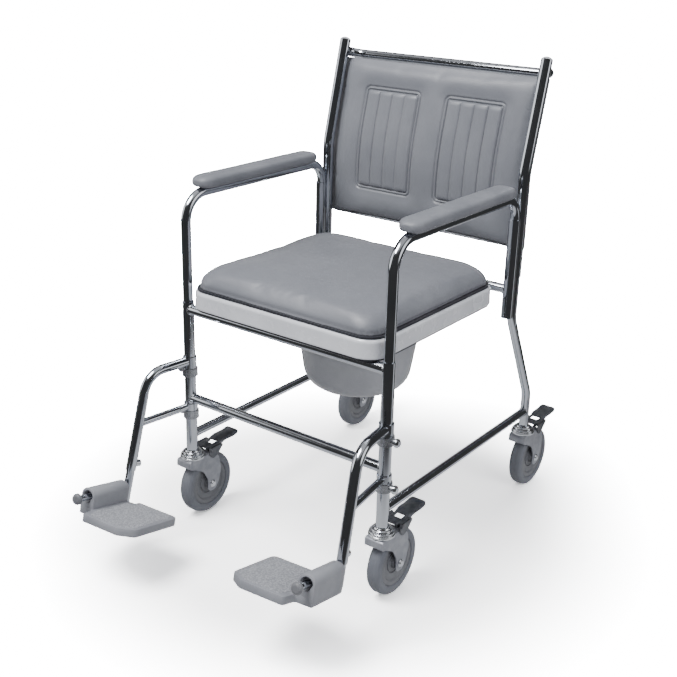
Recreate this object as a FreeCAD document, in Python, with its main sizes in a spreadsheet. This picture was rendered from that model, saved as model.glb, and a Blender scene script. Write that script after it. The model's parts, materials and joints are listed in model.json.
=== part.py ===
import FreeCAD, Part
import math
import os
import Sketcher

# Wheeled commode chair: a chromed tube frame on four braked swivel castors, with a padded back, two
# lift-off armrests, a white toilet seat under a lift-off cushion, a sliding pan and two swing-away
# footrests.  Millimetres, +Z up.  The sitter faces -Y.  Left and right are named as seen from the
# front of the chair, so left is -X, which is the sitter's right.  The origin is on the floor, midway
# between the two sides and midway between front and back.

doc = FreeCAD.newDocument("commode_chair")
sheet = doc.addObject("Spreadsheet::Sheet", "Sizes")

DRIVING_SIZES = (
    # frame
    ("main_tube_diameter", 22.2, "front legs, back posts and arm sockets; the light tube slides in it"),
    ("rail_diameter", 17.0, "lower side rails"),
    ("tube_wall", 1.5, "wall of every tube"),
    ("plug_clearance", 0.1, "radial gap of a tube that slides in a tube"),
    ("weld_gap", 0.0, "gap left between two tubes welded side by side"),
    ("leg_spacing", 456.0, "left to right, between the axes of the legs"),
    ("wheelbase", 522.0, "front leg axis to rear castor axis"),
    ("post_setback", 424.0, "front leg axis to back post axis"),
    ("leg_foot_height", 150.0, "lower end of the four legs"),
    ("front_leg_height", 459.0, "open top end of the front legs"),
    ("rear_leg_low_bend_height", 224.0, "corner where the rear leg leaves the vertical"),
    ("rear_leg_high_bend_height", 414.0, "corner where the rear leg is vertical again"),
    ("rear_leg_bend_radius", 60.0, "centre line radius of both rear leg bends"),
    ("rear_leg_plug", 40.0, "length of rear leg inside the back post"),
    ("post_foot_height", 502.0, "lower end of the back posts"),
    ("post_bend_height", 700.0, "corner where the back posts start to recline"),
    ("post_bend_radius", 120.0, "centre line radius of that bend"),
    ("post_recline", 14.0, "degrees from the vertical"),
    ("post_top_height", 903.0, "open top end of the back posts"),
    ("post_cap_dome", 5.0, "height of the domed cap above the post"),
    ("front_bar_high_height", 443.5, "axis of the upper front crossbar"),
    ("front_bar_low_height", 262.0, "axis of the lower front crossbar"),
    ("rear_bar_height", 480.0, "axis of the rear crossbar"),
    ("rail_height", 182.0, "axis of the lower side rails"),
    ("push_bar_height", 882.0, "where the push bar leaves the back post"),
    ("push_bar_reach", 38.0, "push bar behind the post axis"),
    ("push_bar_bend_radius", 27.0, "centre line radius of its corners"),
    # armrests
    ("socket_foot_height", 424.0, "lower end of the arm sockets"),
    ("socket_top_height", 618.0, "open top end of the arm sockets"),
    ("arm_height", 660.0, "axis of the level run of the armrest tube"),
    ("arm_front_bend_radius", 50.0, "centre line radius"),
    ("arm_rear_bend_radius", 40.0, "centre line radius"),
    ("arm_plug_front", 60.0, "length of armrest tube inside the front leg"),
    ("arm_plug_rear", 90.0, "length of armrest tube inside the socket"),
    ("arm_pad_length", 338.0, "front to back"),
    ("arm_pad_width", 46.0, "side to side"),
    ("arm_pad_thickness", 24.0, "from the underside to the top"),
    ("arm_pad_start", 30.0, "front leg axis to the front end of the pad"),
    ("arm_pad_wrap", 3.0, "how far the tube sinks into the pad"),
    # seat, cushion and pan
    ("seat_side_gap", 3.9, "between the seat and the inner side of the front legs"),
    ("seat_front_overhang", 22.0, "front edge ahead of the front leg axis"),
    ("seat_height", 34.0, "height of the seat's skirt"),
    ("seat_wall", 4.0, "wall of the moulded seat"),
    ("seat_corner_radius", 42.0, "corners seen from above"),
    ("seat_opening_width", 200.0, "of the toilet opening"),
    ("seat_opening_length", 230.0, "of the toilet opening"),
    ("seat_frame_margin", 12.0, "plate's opening beyond the seat's opening"),
    ("seat_frame_thickness", 4.0, "dark plate that carries the seat"),
    ("seat_frame_inset", 3.0, "plate edge inside the seat's edge"),
    ("seat_gap", 1.5, "between the seat and the rear crossbar's bracket"),
    ("cushion_board_thickness", 4.0, "stiff board under the cushion"),
    ("cushion_board_inset", 5.0, "board edge inside the seat's edge"),
    ("cushion_height", 38.0, "crown of the cushion above its board"),
    ("cushion_edge_radius", 14.0, "rounding of the cushion's top edge"),
    ("pan_setback", 232.0, "front leg axis to the pan's axis"),
    ("pan_top_radius", 123.0, "outside, under the rim"),
    ("pan_floor_radius", 100.0, "outside, where the wall meets the floor"),
    ("pan_floor_fillet", 42.0, "rounding between the wall and the floor"),
    ("pan_depth", 172.0, "rim to underside"),
    ("pan_wall", 3.0, "wall of the moulded pan"),
    ("pan_rim_width", 13.0, "rim beyond the pan's wall"),
    ("pan_rim_thickness", 3.0, "rim from top to bottom"),
    ("runner_gap", 0.5, "between the pan's rim and its runners"),
    ("runner_thickness", 2.5, "sheet of the pan runners"),
    ("runner_ledge", 9.0, "width of ledge under the pan's rim"),
    # back
    ("back_pad_overlap", 3.0, "pad edge beyond the axis of the back post"),
    ("back_pad_thickness", 14.0, "through the pad"),
    ("back_pad_bottom_height", 551.0, "lower edge"),
    ("back_pad_top_height", 869.0, "upper edge, at the front face"),
    ("back_screw_diameter", 11.0, "head"),
    # castors
    ("wheel_diameter", 127.0, "over the tyre"),
    ("wheel_width", 28.0, "of the tyre"),
    ("hub_diameter", 92.0, "over the hub, under the tyre"),
    ("hub_width", 22.0, "of the hub's rim"),
    ("hub_rim_depth", 8.0, "of the hub's rim, from its outside to its inside"),
    ("tyre_flare", 4.0, "height over which the tyre widens from the hub"),
    ("tyre_edge_drop", 6.0, "height of the tyre's rounded edge"),
    ("hub_boss_length", 31.0, "over the hub's boss"),
    ("hub_boss_diameter", 26.0, "of the hub's boss"),
    ("axle_diameter", 8.0, "axle bolt"),
    ("castor_trail", 36.0, "swivel axis to axle"),
    ("fork_gap", 32.0, "between the fork's cheeks"),
    ("fork_sheet", 3.0, "thickness of the fork's steel"),
    ("fork_crown_height", 133.0, "top face of the fork's crown"),
    ("fork_front", 25.0, "swivel axis to the fork's front"),
    ("fork_rear", 30.0, "swivel axis to the rear of the fork's crown"),
    ("fork_corner_radius", 7.0, "upright front corners of the fork"),
    ("fork_skirt", 18.0, "height of the closed front of the fork"),
    ("fork_eye_radius", 15.0, "end of the cheek round the axle"),
    ("cup_diameter", 48.0, "widest ring of the swivel cup"),
    ("swivel_gap", 0.4, "between the swivel cup and the fork"),
    ("stem_length", 45.0, "castor stem inside the leg"),
    ("axle_head_diameter", 15.0, "head and nut of the axle bolt"),
    ("axle_head_height", 5.0, "head and nut of the axle bolt"),
    ("running_gap", 0.08, "radial gap of a part that turns on a pin"),
    ("pedal_width", 36.0, "brake pedal side to side"),
    ("pedal_height", 143.0, "underside of the pedal's plate"),
    ("pedal_front", 27.0, "swivel axis to the pedal's front edge"),
    ("pedal_lip", 6.0, "rise of the pedal's tip"),
    ("pedal_window", 15.0, "width of the opening in the pedal"),
    ("pedal_pivot_setback", 34.0, "swivel axis to the pedal's pivot"),
    ("pedal_flange", 8.0, "depth of the pedal's side flanges"),
    ("pedal_reach", 118.0, "swivel axis to the pedal's tip"),
    ("pedal_sheet", 2.5, "thickness of the pedal's steel"),
    # footrests
    ("clamp_height", 16.0, "of each clamp on the front leg"),
    ("clamp_wall", 4.0, "of each clamp"),
    ("clamp_low_height", 220.5, "underside of the lower clamp"),
    ("clamp_high_height", 309.0, "underside of the upper clamp"),
    ("clamp_bolt_diameter", 8.0, "shank of the clamp's bolt"),
    ("clamp_nut_diameter", 16.0, "domed nut on the clamp"),
    ("clamp_boss_diameter", 13.0, "boss on the clamp's outer side"),
    ("clamp_boss_length", 6.0, "boss beyond the clamp's ring"),
    ("clamp_nut_length", 7.0, "domed nut"),
    ("sleeve_wall", 2.0, "of the hanger's sleeves"),
    ("sleeve_gap", 0.2, "between a sleeve and the clamp under it"),
    ("sleeve_low_height", 15.0, "length of the lower sleeve"),
    ("sleeve_high_height", 23.0, "length of the upper sleeve"),
    ("hanger_tube_diameter", 19.0, "tube of the footrest hangers"),
    ("strut_diameter", 14.0, "lower strut of the hanger"),
    ("footrest_splay", 8.0, "degrees that a footrest points outwards"),
    ("hanger_reach", 98.0, "leg axis to the corner of the hanger"),
    ("hanger_bend_radius", 45.0, "centre line radius of that corner"),
    ("hanger_rake", 14.5, "degrees of the hanger's lower run from the vertical"),
    ("hanger_end_height", 156.0, "lower end of the hanger tube"),
    ("slider_end_height", 117.0, "lower end of the sliding tube"),
    ("slider_overlap", 85.0, "sliding tube inside the hanger"),
    ("left_footrest_drop", 25.4, "how much further out the slider at -X is set"),
    ("left_plate_heading", -4.0, "degrees that the footplate at -X points outwards"),
    ("right_plate_heading", 4.5, "degrees that the footplate at +X points outwards"),
    ("pivot_height", 147.0, "where the footplate's pin leaves the sliding tube"),
    ("pivot_diameter", 12.0, "footplate's pin"),
    ("pivot_reach", 125.5, "sliding tube's axis to the front end of the pin"),
    ("pivot_knob_diameter", 21.0, "knob on the pin"),
    ("pivot_knob_length", 11.0, "knob on the pin"),
    ("barrel_radius", 16.0, "outside of the footplate's barrel"),
    ("barrel_rear", 12.5, "sliding tube's axis to the barrel's rear end"),
    ("barrel_front", 105.0, "sliding tube's axis to the barrel's front end"),
    ("barrel_mouth_diameter", 24.0, "wide mouth at the barrel's front"),
    ("barrel_mouth_depth", 14.0, "depth of that mouth"),
    ("footplate_thickness", 15.0, "of the plate"),
    ("footplate_drop", 19.7, "pin's axis to the plate's upper face"),
    ("footplate_rear", 1.0, "sliding tube's axis to the plate's rear edge"),
    ("footplate_front", 134.0, "sliding tube's axis to the plate's front edge"),
    ("footplate_width", 130.0, "pin's axis to the plate's inner edge"),
    ("footplate_chamfer_across", 27.0, "inner front corner, side to side"),
    ("footplate_chamfer_along", 19.0, "inner front corner, front to back"),
    ("footplate_front_start", 19.0, "pin's axis to the outer end of the front edge"),
    ("footplate_notch_width", 34.0, "pin's axis to the side of the notch round the slider"),
    ("footplate_corner_radius", 14.0, "inner corners of the plate"),
    ("height_screw_height", 168.0, "axis of the height screw on the hanger"),
    ("height_screw_diameter", 13.0, "head of the height screw"),
    ("height_screw_length", 8.0, "head of the height screw beyond the tube"),
)
for row, (alias, number, note) in enumerate(DRIVING_SIZES, start=1):
    sheet.set(f"A{row}", alias)
    sheet.set(f"B{row}", str(number))
    sheet.set(f"C{row}", note)
    sheet.setAlias(f"B{row}", alias)
doc.recompute()


def size(alias):
    return float(sheet.get(alias))


def cell(alias):
    return f"Sizes.{alias}"


UP = FreeCAD.Vector(0, 0, 1)
ACROSS = FreeCAD.Vector(1, 0, 0)
BACKWARD = FreeCAD.Vector(0, 1, 0)
NO_TURN = FreeCAD.Rotation()
SIDES = (("left", -1), ("right", 1))
nodes = []


def place(x, y, z, rotation=NO_TURN):
    return FreeCAD.Placement(FreeCAD.Vector(x, y, z), rotation)


def keep(item, label):
    """Give a finished sub-part its name and remember it for the export."""
    item.Label = label
    nodes.append(item)
    return item


# ---------------------------------------------------------------- positions shared by several pieces
half_spacing = size("leg_spacing") / 2
main_radius = size("main_tube_diameter") / 2
# Rear legs, armrests, crossbars and push bar are of the tube that slides in the main tube.
LIGHT_TUBE = f"({cell('main_tube_diameter')} - 2 * ({cell('tube_wall')} + {cell('plug_clearance')}))"
light_radius = main_radius - size("tube_wall") - size("plug_clearance")
rake = math.radians(size("hanger_rake"))
sleeve_radius = main_radius + size("plug_clearance") + size("sleeve_wall")
low_sleeve_base = size("clamp_low_height") + size("clamp_height") + size("sleeve_gap")
high_sleeve_base = size("clamp_high_height") + size("clamp_height") + size("sleeve_gap")
hanger_radius = size("hanger_tube_diameter") / 2
hanger_top = high_sleeve_base + size("sleeve_high_height") - hanger_radius
plate_base = -size("footplate_drop") - size("footplate_thickness")


def hanger_axis(height, slip=0.0):
    """A point on the hanger's raked run, in the footrest's own frame, slipped down its axis."""
    reach = size("hanger_reach") + (hanger_top - height) * math.tan(rake)
    return FreeCAD.Vector(0, -reach - slip * math.sin(rake), height - slip * math.cos(rake))


def footrest_frame(sign, leg_y):
    """The footrest's own frame: on the floor under the front leg, -Y along the hanger."""
    return place(sign * half_spacing, leg_y, 0, FreeCAD.Rotation(UP, sign * size("footrest_splay")))


def slider_slip(side):
    return size("left_footrest_drop") if side == "left" else 0.0


def plate_frame(side, sign, leg_y):
    """The footplate's own frame: origin where the pin leaves the slider, -Y along the pin."""
    pivot = hanger_axis(size("pivot_height"), slider_slip(side))
    heading = FreeCAD.Rotation(UP, sign * size(f"{side}_plate_heading"))
    tilt = FreeCAD.Rotation(ACROSS, -size("hanger_rake"))
    return FreeCAD.Placement(footrest_frame(sign, leg_y).multVec(pivot), heading.multiply(tilt))


# The overall depth runs from the lower front edge of the footplates to the rear brake pedals.
front_reach = []
for side, sign in SIDES:
    for across in (-size("footplate_front_start"), size("footplate_chamfer_across") - size("footplate_width")):
        corner = FreeCAD.Vector(sign * across, -size("footplate_front"), plate_base)
        front_reach.append(plate_frame(side, sign, 0).multVec(corner).y)
front_y = -(size("wheelbase") + size("pedal_reach") + min(front_reach)) / 2
rear_y = front_y + size("wheelbase")
post_y = front_y + size("post_setback")
socket_y = post_y - 2 * main_radius - size("weld_gap")
recline = math.radians(size("post_recline"))


def post_axis_y(height):
    """Y of the back post's axis at a height on its reclined run."""
    return post_y + max(0.0, height - size("post_bend_height")) * math.tan(recline)


# ---------------------------------------------------------------- tools for tubes
def primitive_cylinder(name, radius, height, placement):
    """A cylinder whose radius and height are sheet expressions."""
    solid = doc.addObject("Part::Cylinder", name)
    solid.setExpression("Radius", radius)
    solid.setExpression("Height", height)
    solid.Placement = placement
    return solid


def cut(name, base, tool):
    result = doc.addObject("Part::Cut", name)
    result.Base = base
    result.Tool = tool
    return result


def fuse(name, shapes):
    result = doc.addObject("Part::MultiFuse", name)
    result.Shapes = shapes
    return result


def straight_tube(name, diameter, length, placement, copes=()):
    """A straight tube along its placement's Z, its ends cut away where it meets other tubes."""
    outside = primitive_cylinder(name + "_outside", f"{diameter} / 2", length, placement)
    bore = primitive_cylinder(name + "_bore", f"{diameter} / 2 - {cell('tube_wall')}", length, placement)
    tube = cut(name + "_tube", outside, bore)
    for number, cope in enumerate(copes):
        tube = cut(f"{name}_coped{number}", tube, cope)
    return tube


def rounded_path(corners, radii):
    """A wire of straight runs with a tangent arc of the given radius at each inner corner."""
    edges = []
    start = corners[0]
    for corner, after, radius in zip(corners[1:-1], corners[2:], radii):
        incoming = (corner - start).normalize()
        outgoing = (after - corner).normalize()
        turn = incoming.getAngle(outgoing)
        setback = radius * math.tan(turn / 2)
        arc_start = corner - incoming * setback
        arc_end = corner + outgoing * setback
        bisector = (outgoing - incoming).normalize()
        middle = corner + bisector * (radius / math.cos(turn / 2) - radius)
        edges.append(Part.LineSegment(start, arc_start).toShape())
        edges.append(Part.Arc(arc_start, middle, arc_end).toShape())
        start = arc_end
    edges.append(Part.LineSegment(start, corners[-1]).toShape())
    return Part.Wire(edges)


def swept_disc(path, corners, radius):
    heading = (corners[1] - corners[0]).normalize()
    rim = Part.Wire(Part.makeCircle(radius, corners[0], heading))
    return path.makePipeShell([rim], True, False)


def bent_tube(name, corners, radii, diameter):
    """A bent round tube, open at both ends, as a shape."""
    path = rounded_path(corners, radii)
    outside = swept_disc(path, corners, diameter / 2)
    inside = swept_disc(path, corners, diameter / 2 - size("tube_wall"))
    feature = doc.addObject("Part::Feature", name)
    feature.Shape = outside.cut(inside)
    return feature


# ---------------------------------------------------------------- tools for sketched pieces
def origin_plane(body, role):
    return next(item for item in body.Origin.OriginFeatures if item.Role == role)


def sketch_on(body, name, role):
    sketch = body.newObject("Sketcher::SketchObject", name)
    sketch.AttachmentSupport = [(origin_plane(body, role), "")]
    sketch.MapMode = "FlatFace"
    return sketch


def set_coordinate(sketch, kind, axis, geometry, expression):
    """Tie a line's first point to a sheet expression along one axis of the sketch."""
    value = float(sketch.evalExpression(expression))
    if abs(value) < 1e-9:
        sketch.addConstraint(Sketcher.Constraint("PointOnObject", geometry, 1, axis))
        return
    number = sketch.addConstraint(Sketcher.Constraint(kind, -1, 1, geometry, 1, value))
    sketch.setExpression(f"Constraints[{number}]", expression)


def polygon(sketch, corners):
    """A closed outline whose corners are pairs of sheet expressions."""
    points = [FreeCAD.Vector(float(sketch.evalExpression(across)), float(sketch.evalExpression(up)), 0)
              for across, up in corners]
    count = len(points)
    for index in range(count):
        sketch.addGeometry(Part.LineSegment(points[index], points[(index + 1) % count]), False)
    for index in range(count):
        sketch.addConstraint(Sketcher.Constraint("Coincident", index, 2, (index + 1) % count, 1))
    for index, (across, up) in enumerate(corners):
        set_coordinate(sketch, "DistanceX", -2, index, across)
        set_coordinate(sketch, "DistanceY", -1, index, up)


def turned(label, corners, placement):
    """A piece turned about its own Z; corners are (radius, height) expressions."""
    body = doc.addObject("PartDesign::Body", label + "_body")
    sketch = sketch_on(body, label + "_profile", "XZ_Plane")
    polygon(sketch, corners)
    spin = body.newObject("PartDesign::Revolution", label + "_turned")
    spin.Profile = sketch
    spin.ReferenceAxis = (sketch, ["V_Axis"])
    spin.Angle = 360
    body.Placement = placement
    return body


def padded_outline(label, corners, length, placement, role="XY_Plane", midplane=False):
    """A flat outline given thickness; corners and length are sheet expressions."""
    body = doc.addObject("PartDesign::Body", label + "_body")
    sketch = sketch_on(body, label + "_outline", role)
    polygon(sketch, corners)
    pad = body.newObject("PartDesign::Pad", label + "_pad")
    pad.Profile = sketch
    pad.setExpression("Length", length)
    pad.Midplane = midplane
    body.Placement = placement
    return body, pad


def edges_where(shape, test):
    return [f"Edge{number}" for number, edge in enumerate(shape.Edges, start=1) if test(edge)]


def round_edges(body, base, name, radius, test):
    """Fillet the edges of the feature that pass the test."""
    doc.recompute()
    fillet = body.newObject("PartDesign::Fillet", name)
    fillet.Base = (base, edges_where(base.Shape, test))
    fillet.setExpression("Radius", radius)
    return fillet


def is_upright(edge):
    return edge.BoundBox.XLength < 1e-6 and edge.BoundBox.YLength < 1e-6


def centred_rectangle(width, length, inset="0"):
    """Corners of a rectangle about the origin, drawn in by an inset."""
    half_width = f"({width} / 2 - {inset})"
    half_length = f"({length} / 2 - {inset})"
    return ((f"-{half_width}", f"-{half_length}"), (half_width, f"-{half_length}"),
            (half_width, half_length), (f"-{half_width}", half_length))


# ---------------------------------------------------------------- front legs, rear legs and back posts
leg_tools = {}
for side, sign in SIDES:
    x = sign * half_spacing
    leg_length = f"{cell('front_leg_height')} - {cell('leg_foot_height')}"
    leg_foot = place(x, front_y, size("leg_foot_height"))
    keep(straight_tube(f"front_leg_{side}", cell("main_tube_diameter"), leg_length, leg_foot),
         f"front_leg_{side}")
    front_cope = primitive_cylinder(f"front_leg_{side}_cope", f"{cell('main_tube_diameter')} / 2",
                                    cell("front_leg_height"), place(x, front_y, 0))
    leg_tools[f"front_{side}"] = front_cope

    rear_corners = [FreeCAD.Vector(x, rear_y, size("leg_foot_height")),
                    FreeCAD.Vector(x, rear_y, size("rear_leg_low_bend_height")),
                    FreeCAD.Vector(x, post_y, size("rear_leg_high_bend_height")),
                    FreeCAD.Vector(x, post_y, size("post_foot_height") + size("rear_leg_plug"))]
    rear_radii = [size("rear_leg_bend_radius")] * 2
    keep(bent_tube(f"rear_leg_{side}_tube", rear_corners, rear_radii, 2 * light_radius),
         f"rear_leg_{side}")
    leg_tools[f"rear_{side}"] = primitive_cylinder(f"rear_leg_{side}_cope", f"{LIGHT_TUBE} / 2",
                                                   cell("post_foot_height"), place(x, rear_y, 0))

    post_corners = [FreeCAD.Vector(x, post_y, size("post_foot_height")),
                    FreeCAD.Vector(x, post_y, size("post_bend_height")),
                    FreeCAD.Vector(x, post_axis_y(size("post_top_height")), size("post_top_height"))]
    keep(bent_tube(f"back_post_{side}_tube", post_corners, [size("post_bend_radius")],
                   size("main_tube_diameter")), f"back_post_{side}")

# domed caps that close the back posts
cap_solids = []
lean_back = FreeCAD.Rotation(ACROSS, -size("post_recline"))
cap_dome = cell("post_cap_dome")
cap_sphere = f"(pow({cell('main_tube_diameter')} / 2; 2) / {cap_dome} + {cap_dome}) / 2"
for side, sign in SIDES:
    top = place(sign * half_spacing, post_axis_y(size("post_top_height")), size("post_top_height"), lean_back)
    sphere_radius = (main_radius ** 2 / size("post_cap_dome") + size("post_cap_dome")) / 2
    dome = doc.addObject("Part::Sphere", f"post_cap_{side}_sphere")
    dome.setExpression("Radius", cap_sphere)
    dome.Placement = top.multiply(place(0, 0, size("post_cap_dome") - sphere_radius))
    disc = primitive_cylinder(f"post_cap_{side}_disc", f"{cell('main_tube_diameter')} / 2",
                              cell("post_cap_dome"), top)
    common = doc.addObject("Part::MultiCommon", f"post_cap_{side}")
    common.Shapes = [dome, disc]
    cap_solids.append(common)
caps = doc.addObject("Part::Compound", "post_cap_pair")
caps.Links = cap_solids
keep(caps, "post_caps")

# ---------------------------------------------------------------- crossbars, side rails and push bar
ALONG_X = FreeCAD.Rotation(BACKWARD, 90)
ALONG_Y = FreeCAD.Rotation(ACROSS, -90)
for label, height in (("front_crossbar_upper", "front_bar_high_height"),
                      ("front_crossbar_lower", "front_bar_low_height")):
    bar_start = place(-half_spacing, front_y, size(height), ALONG_X)
    keep(straight_tube(label, LIGHT_TUBE, cell("leg_spacing"), bar_start,
                       (leg_tools["front_left"], leg_tools["front_right"])), label)

socket_tools = {}
for side, sign in SIDES:
    x = sign * half_spacing
    socket_length = f"{cell('socket_top_height')} - {cell('socket_foot_height')}"
    socket_foot = place(x, socket_y, size("socket_foot_height"))
    keep(straight_tube(f"arm_socket_{side}", cell("main_tube_diameter"), socket_length, socket_foot),
         f"arm_socket_{side}")
    socket_tools[side] = primitive_cylinder(f"arm_socket_{side}_cope", f"{cell('main_tube_diameter')} / 2",
                                            socket_length, socket_foot)
    rail_start = place(x, front_y, size("rail_height"), ALONG_Y)
    keep(straight_tube(f"lower_rail_{side}", cell("rail_diameter"), cell("wheelbase"), rail_start,
                       (leg_tools[f"front_{side}"], leg_tools[f"rear_{side}"])), f"lower_rail_{side}")

rear_bar_start = place(-half_spacing, socket_y, size("rear_bar_height"), ALONG_X)
keep(straight_tube("rear_crossbar", LIGHT_TUBE, cell("leg_spacing"), rear_bar_start,
                   (socket_tools["left"], socket_tools["right"])), "rear_crossbar")

# The push bar leaves each post square to its recline, turns and runs across behind the pad.
bar_y = post_axis_y(size("push_bar_height"))
bar_back = size("push_bar_reach") * math.cos(recline)
bar_down = size("push_bar_reach") * math.sin(recline)
bar_corners = [FreeCAD.Vector(-half_spacing, bar_y, size("push_bar_height")),
               FreeCAD.Vector(-half_spacing, bar_y + bar_back, size("push_bar_height") - bar_down),
               FreeCAD.Vector(half_spacing, bar_y + bar_back, size("push_bar_height") - bar_down),
               FreeCAD.Vector(half_spacing, bar_y, size("push_bar_height"))]
push_bar = bent_tube("push_bar_tube", bar_corners, [size("push_bar_bend_radius")] * 2, 2 * light_radius)
post_copes = []
for side, sign in SIDES:
    cope_length = f"({cell('post_top_height')} - {cell('post_bend_height')}) * 2"
    cope_foot = place(sign * half_spacing, post_axis_y(size("post_bend_height")), size("post_bend_height"),
                      lean_back)
    post_copes.append(primitive_cylinder(f"post_{side}_cope", f"{cell('main_tube_diameter')} / 2",
                                         cope_length, cope_foot))
for number, cope in enumerate(post_copes):
    push_bar = cut(f"push_bar_coped{number}", push_bar, cope)
keep(push_bar, "push_bar")

# ---------------------------------------------------------------- armrests
for side, sign in SIDES:
    x = sign * half_spacing
    arm_corners = [FreeCAD.Vector(x, front_y, size("front_leg_height") - size("arm_plug_front")),
                   FreeCAD.Vector(x, front_y, size("arm_height")),
                   FreeCAD.Vector(x, socket_y, size("arm_height")),
                   FreeCAD.Vector(x, socket_y, size("socket_top_height") - size("arm_plug_rear"))]
    arm_radii = [size("arm_front_bend_radius"), size("arm_rear_bend_radius")]
    keep(bent_tube(f"arm_tube_{side}_bent", arm_corners, arm_radii, 2 * light_radius),
         f"arm_tube_{side}")

    pad_base = size("arm_height") + light_radius - size("arm_pad_wrap")
    pad_corners = centred_rectangle(cell("arm_pad_width"), cell("arm_pad_length"))
    pad_middle = front_y + size("arm_pad_start") + size("arm_pad_length") / 2
    pad_body, pad_solid = padded_outline(f"arm_pad_{side}", pad_corners, cell("arm_pad_thickness"),
                                         place(x, pad_middle, pad_base))
    corner_round = round_edges(pad_body, pad_solid, f"arm_pad_{side}_corners",
                               f"{cell('arm_pad_width')} / 3", is_upright)
    doc.recompute()
    crown = corner_round.Shape.BoundBox.ZMax
    round_edges(pad_body, corner_round, f"arm_pad_{side}_crown", f"{cell('arm_pad_thickness')} / 3",
                lambda edge: edge.BoundBox.ZMin > crown - 1e-6)
    groove = primitive_cylinder(f"arm_pad_{side}_groove", f"{LIGHT_TUBE} / 2",
                                f"{cell('arm_pad_length')} * 2",
                                place(x, front_y - size("arm_pad_length") / 2, size("arm_height"), ALONG_Y))
    keep(cut(f"arm_pad_{side}_grooved", pad_body, groove), f"arm_pad_{side}")

# ---------------------------------------------------------------- seat frame, seat, cushion
frame_base = size("front_bar_high_height") + light_radius
seat_base = frame_base + size("seat_frame_thickness")
seat_front = front_y - size("seat_front_overhang")
seat_rear = socket_y - light_radius - size("seat_gap")
seat_width = f"({cell('leg_spacing')} - {cell('main_tube_diameter')} - 2 * {cell('seat_side_gap')})"
seat_length = f"({cell('post_setback')} - {cell('main_tube_diameter')} - {cell('weld_gap')}" \
              f" - {LIGHT_TUBE} / 2 - {cell('seat_gap')} + {cell('seat_front_overhang')})"
seat_middle = (seat_front + seat_rear) / 2


def seat_slab(label, inset, thickness, base):
    """A flat slab with the seat's rounded outline, drawn in by an inset."""
    corners = centred_rectangle(seat_width, seat_length, inset)
    body, pad = padded_outline(label, corners, thickness, place(0, seat_middle, base))
    fillet = round_edges(body, pad, label + "_corners", f"{cell('seat_corner_radius')} - {inset}", is_upright)
    return body, fillet


def oval_hole(label, base, height, grow="0"):
    """A tall oval the size of the toilet opening, as a cutting tool."""
    width = f"({cell('seat_opening_width')} + {grow})"
    length = f"({cell('seat_opening_length')} + {grow})"
    body, pad = padded_outline(label, centred_rectangle(width, length), height,
                               place(0, front_y + size("pan_setback"), base))
    round_edges(body, pad, label + "_corners", f"{width} / 2.1", is_upright)
    return body


frame_plate, _ = seat_slab("seat_frame_plate", cell("seat_frame_inset"), cell("seat_frame_thickness"),
                           frame_base)
plate_hole = oval_hole("seat_frame_hole", frame_base - 1, f"{cell('seat_frame_thickness')} + 2",
                       f"2 * {cell('seat_frame_margin')}")
bracket_height = f"{cell('rear_bar_height')} + {LIGHT_TUBE} / 4 - {frame_base}"
bracket_pieces = []
bracket_x = half_spacing * 0.55
for side, sign in SIDES:
    bracket = doc.addObject("Part::Box", f"seat_frame_bracket_{side}")
    bracket.setExpression("Length", f"{LIGHT_TUBE} * 2")
    bracket.setExpression("Width", cell("seat_gap"))
    bracket.setExpression("Height", bracket_height)
    bracket.Placement = place(sign * bracket_x - 2 * light_radius, seat_rear, frame_base)
    foot = doc.addObject("Part::Box", f"seat_frame_foot_{side}")
    foot.setExpression("Length", f"{LIGHT_TUBE} * 2")
    foot.setExpression("Width", f"{cell('seat_gap')} + {cell('seat_frame_inset')} + 1")
    foot.setExpression("Height", cell("seat_frame_thickness"))
    foot.Placement = place(sign * bracket_x - 2 * light_radius,
                           seat_rear - size("seat_frame_inset") - 1, frame_base)
    bracket_pieces += [bracket, foot]

# The pan's runners hang under the seat frame: a flat hanger with a ledge folded inwards.
rim_radius = f"({cell('pan_top_radius')} + {cell('pan_rim_width')})"
runner_drop = f"({cell('pan_rim_thickness')} + 2 * {cell('runner_gap')} + {cell('runner_thickness')})"
runner_drop_mm = size("pan_rim_thickness") + 2 * size("runner_gap") + size("runner_thickness")
rim_outside = size("pan_top_radius") + size("pan_rim_width") + size("runner_gap")
runner_length = f"{cell('pan_top_radius')} * 2"
for side, sign in SIDES:
    hanger = doc.addObject("Part::Box", f"runner_hanger_{side}")
    hanger.setExpression("Length", cell("runner_thickness"))
    hanger.setExpression("Width", runner_length)
    hanger.setExpression("Height", runner_drop)
    ledge = doc.addObject("Part::Box", f"runner_ledge_{side}")
    ledge.setExpression("Length", cell("runner_ledge"))
    ledge.setExpression("Width", runner_length)
    ledge.setExpression("Height", cell("runner_thickness"))
    runner_y = front_y + size("pan_setback") - size("pan_top_radius")
    outer_x = rim_outside + size("runner_thickness")
    hanger_x = rim_outside if sign > 0 else -outer_x
    ledge_x = outer_x - size("runner_ledge") if sign > 0 else -outer_x
    hanger.Placement = place(hanger_x, runner_y, frame_base - runner_drop_mm)
    ledge.Placement = place(ledge_x, runner_y, frame_base - runner_drop_mm)
    bracket_pieces += [hanger, ledge]
holed_plate = cut("seat_frame_holed", frame_plate, plate_hole)
keep(fuse("seat_frame_welded", [holed_plate] + bracket_pieces), "seat_frame")

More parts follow.
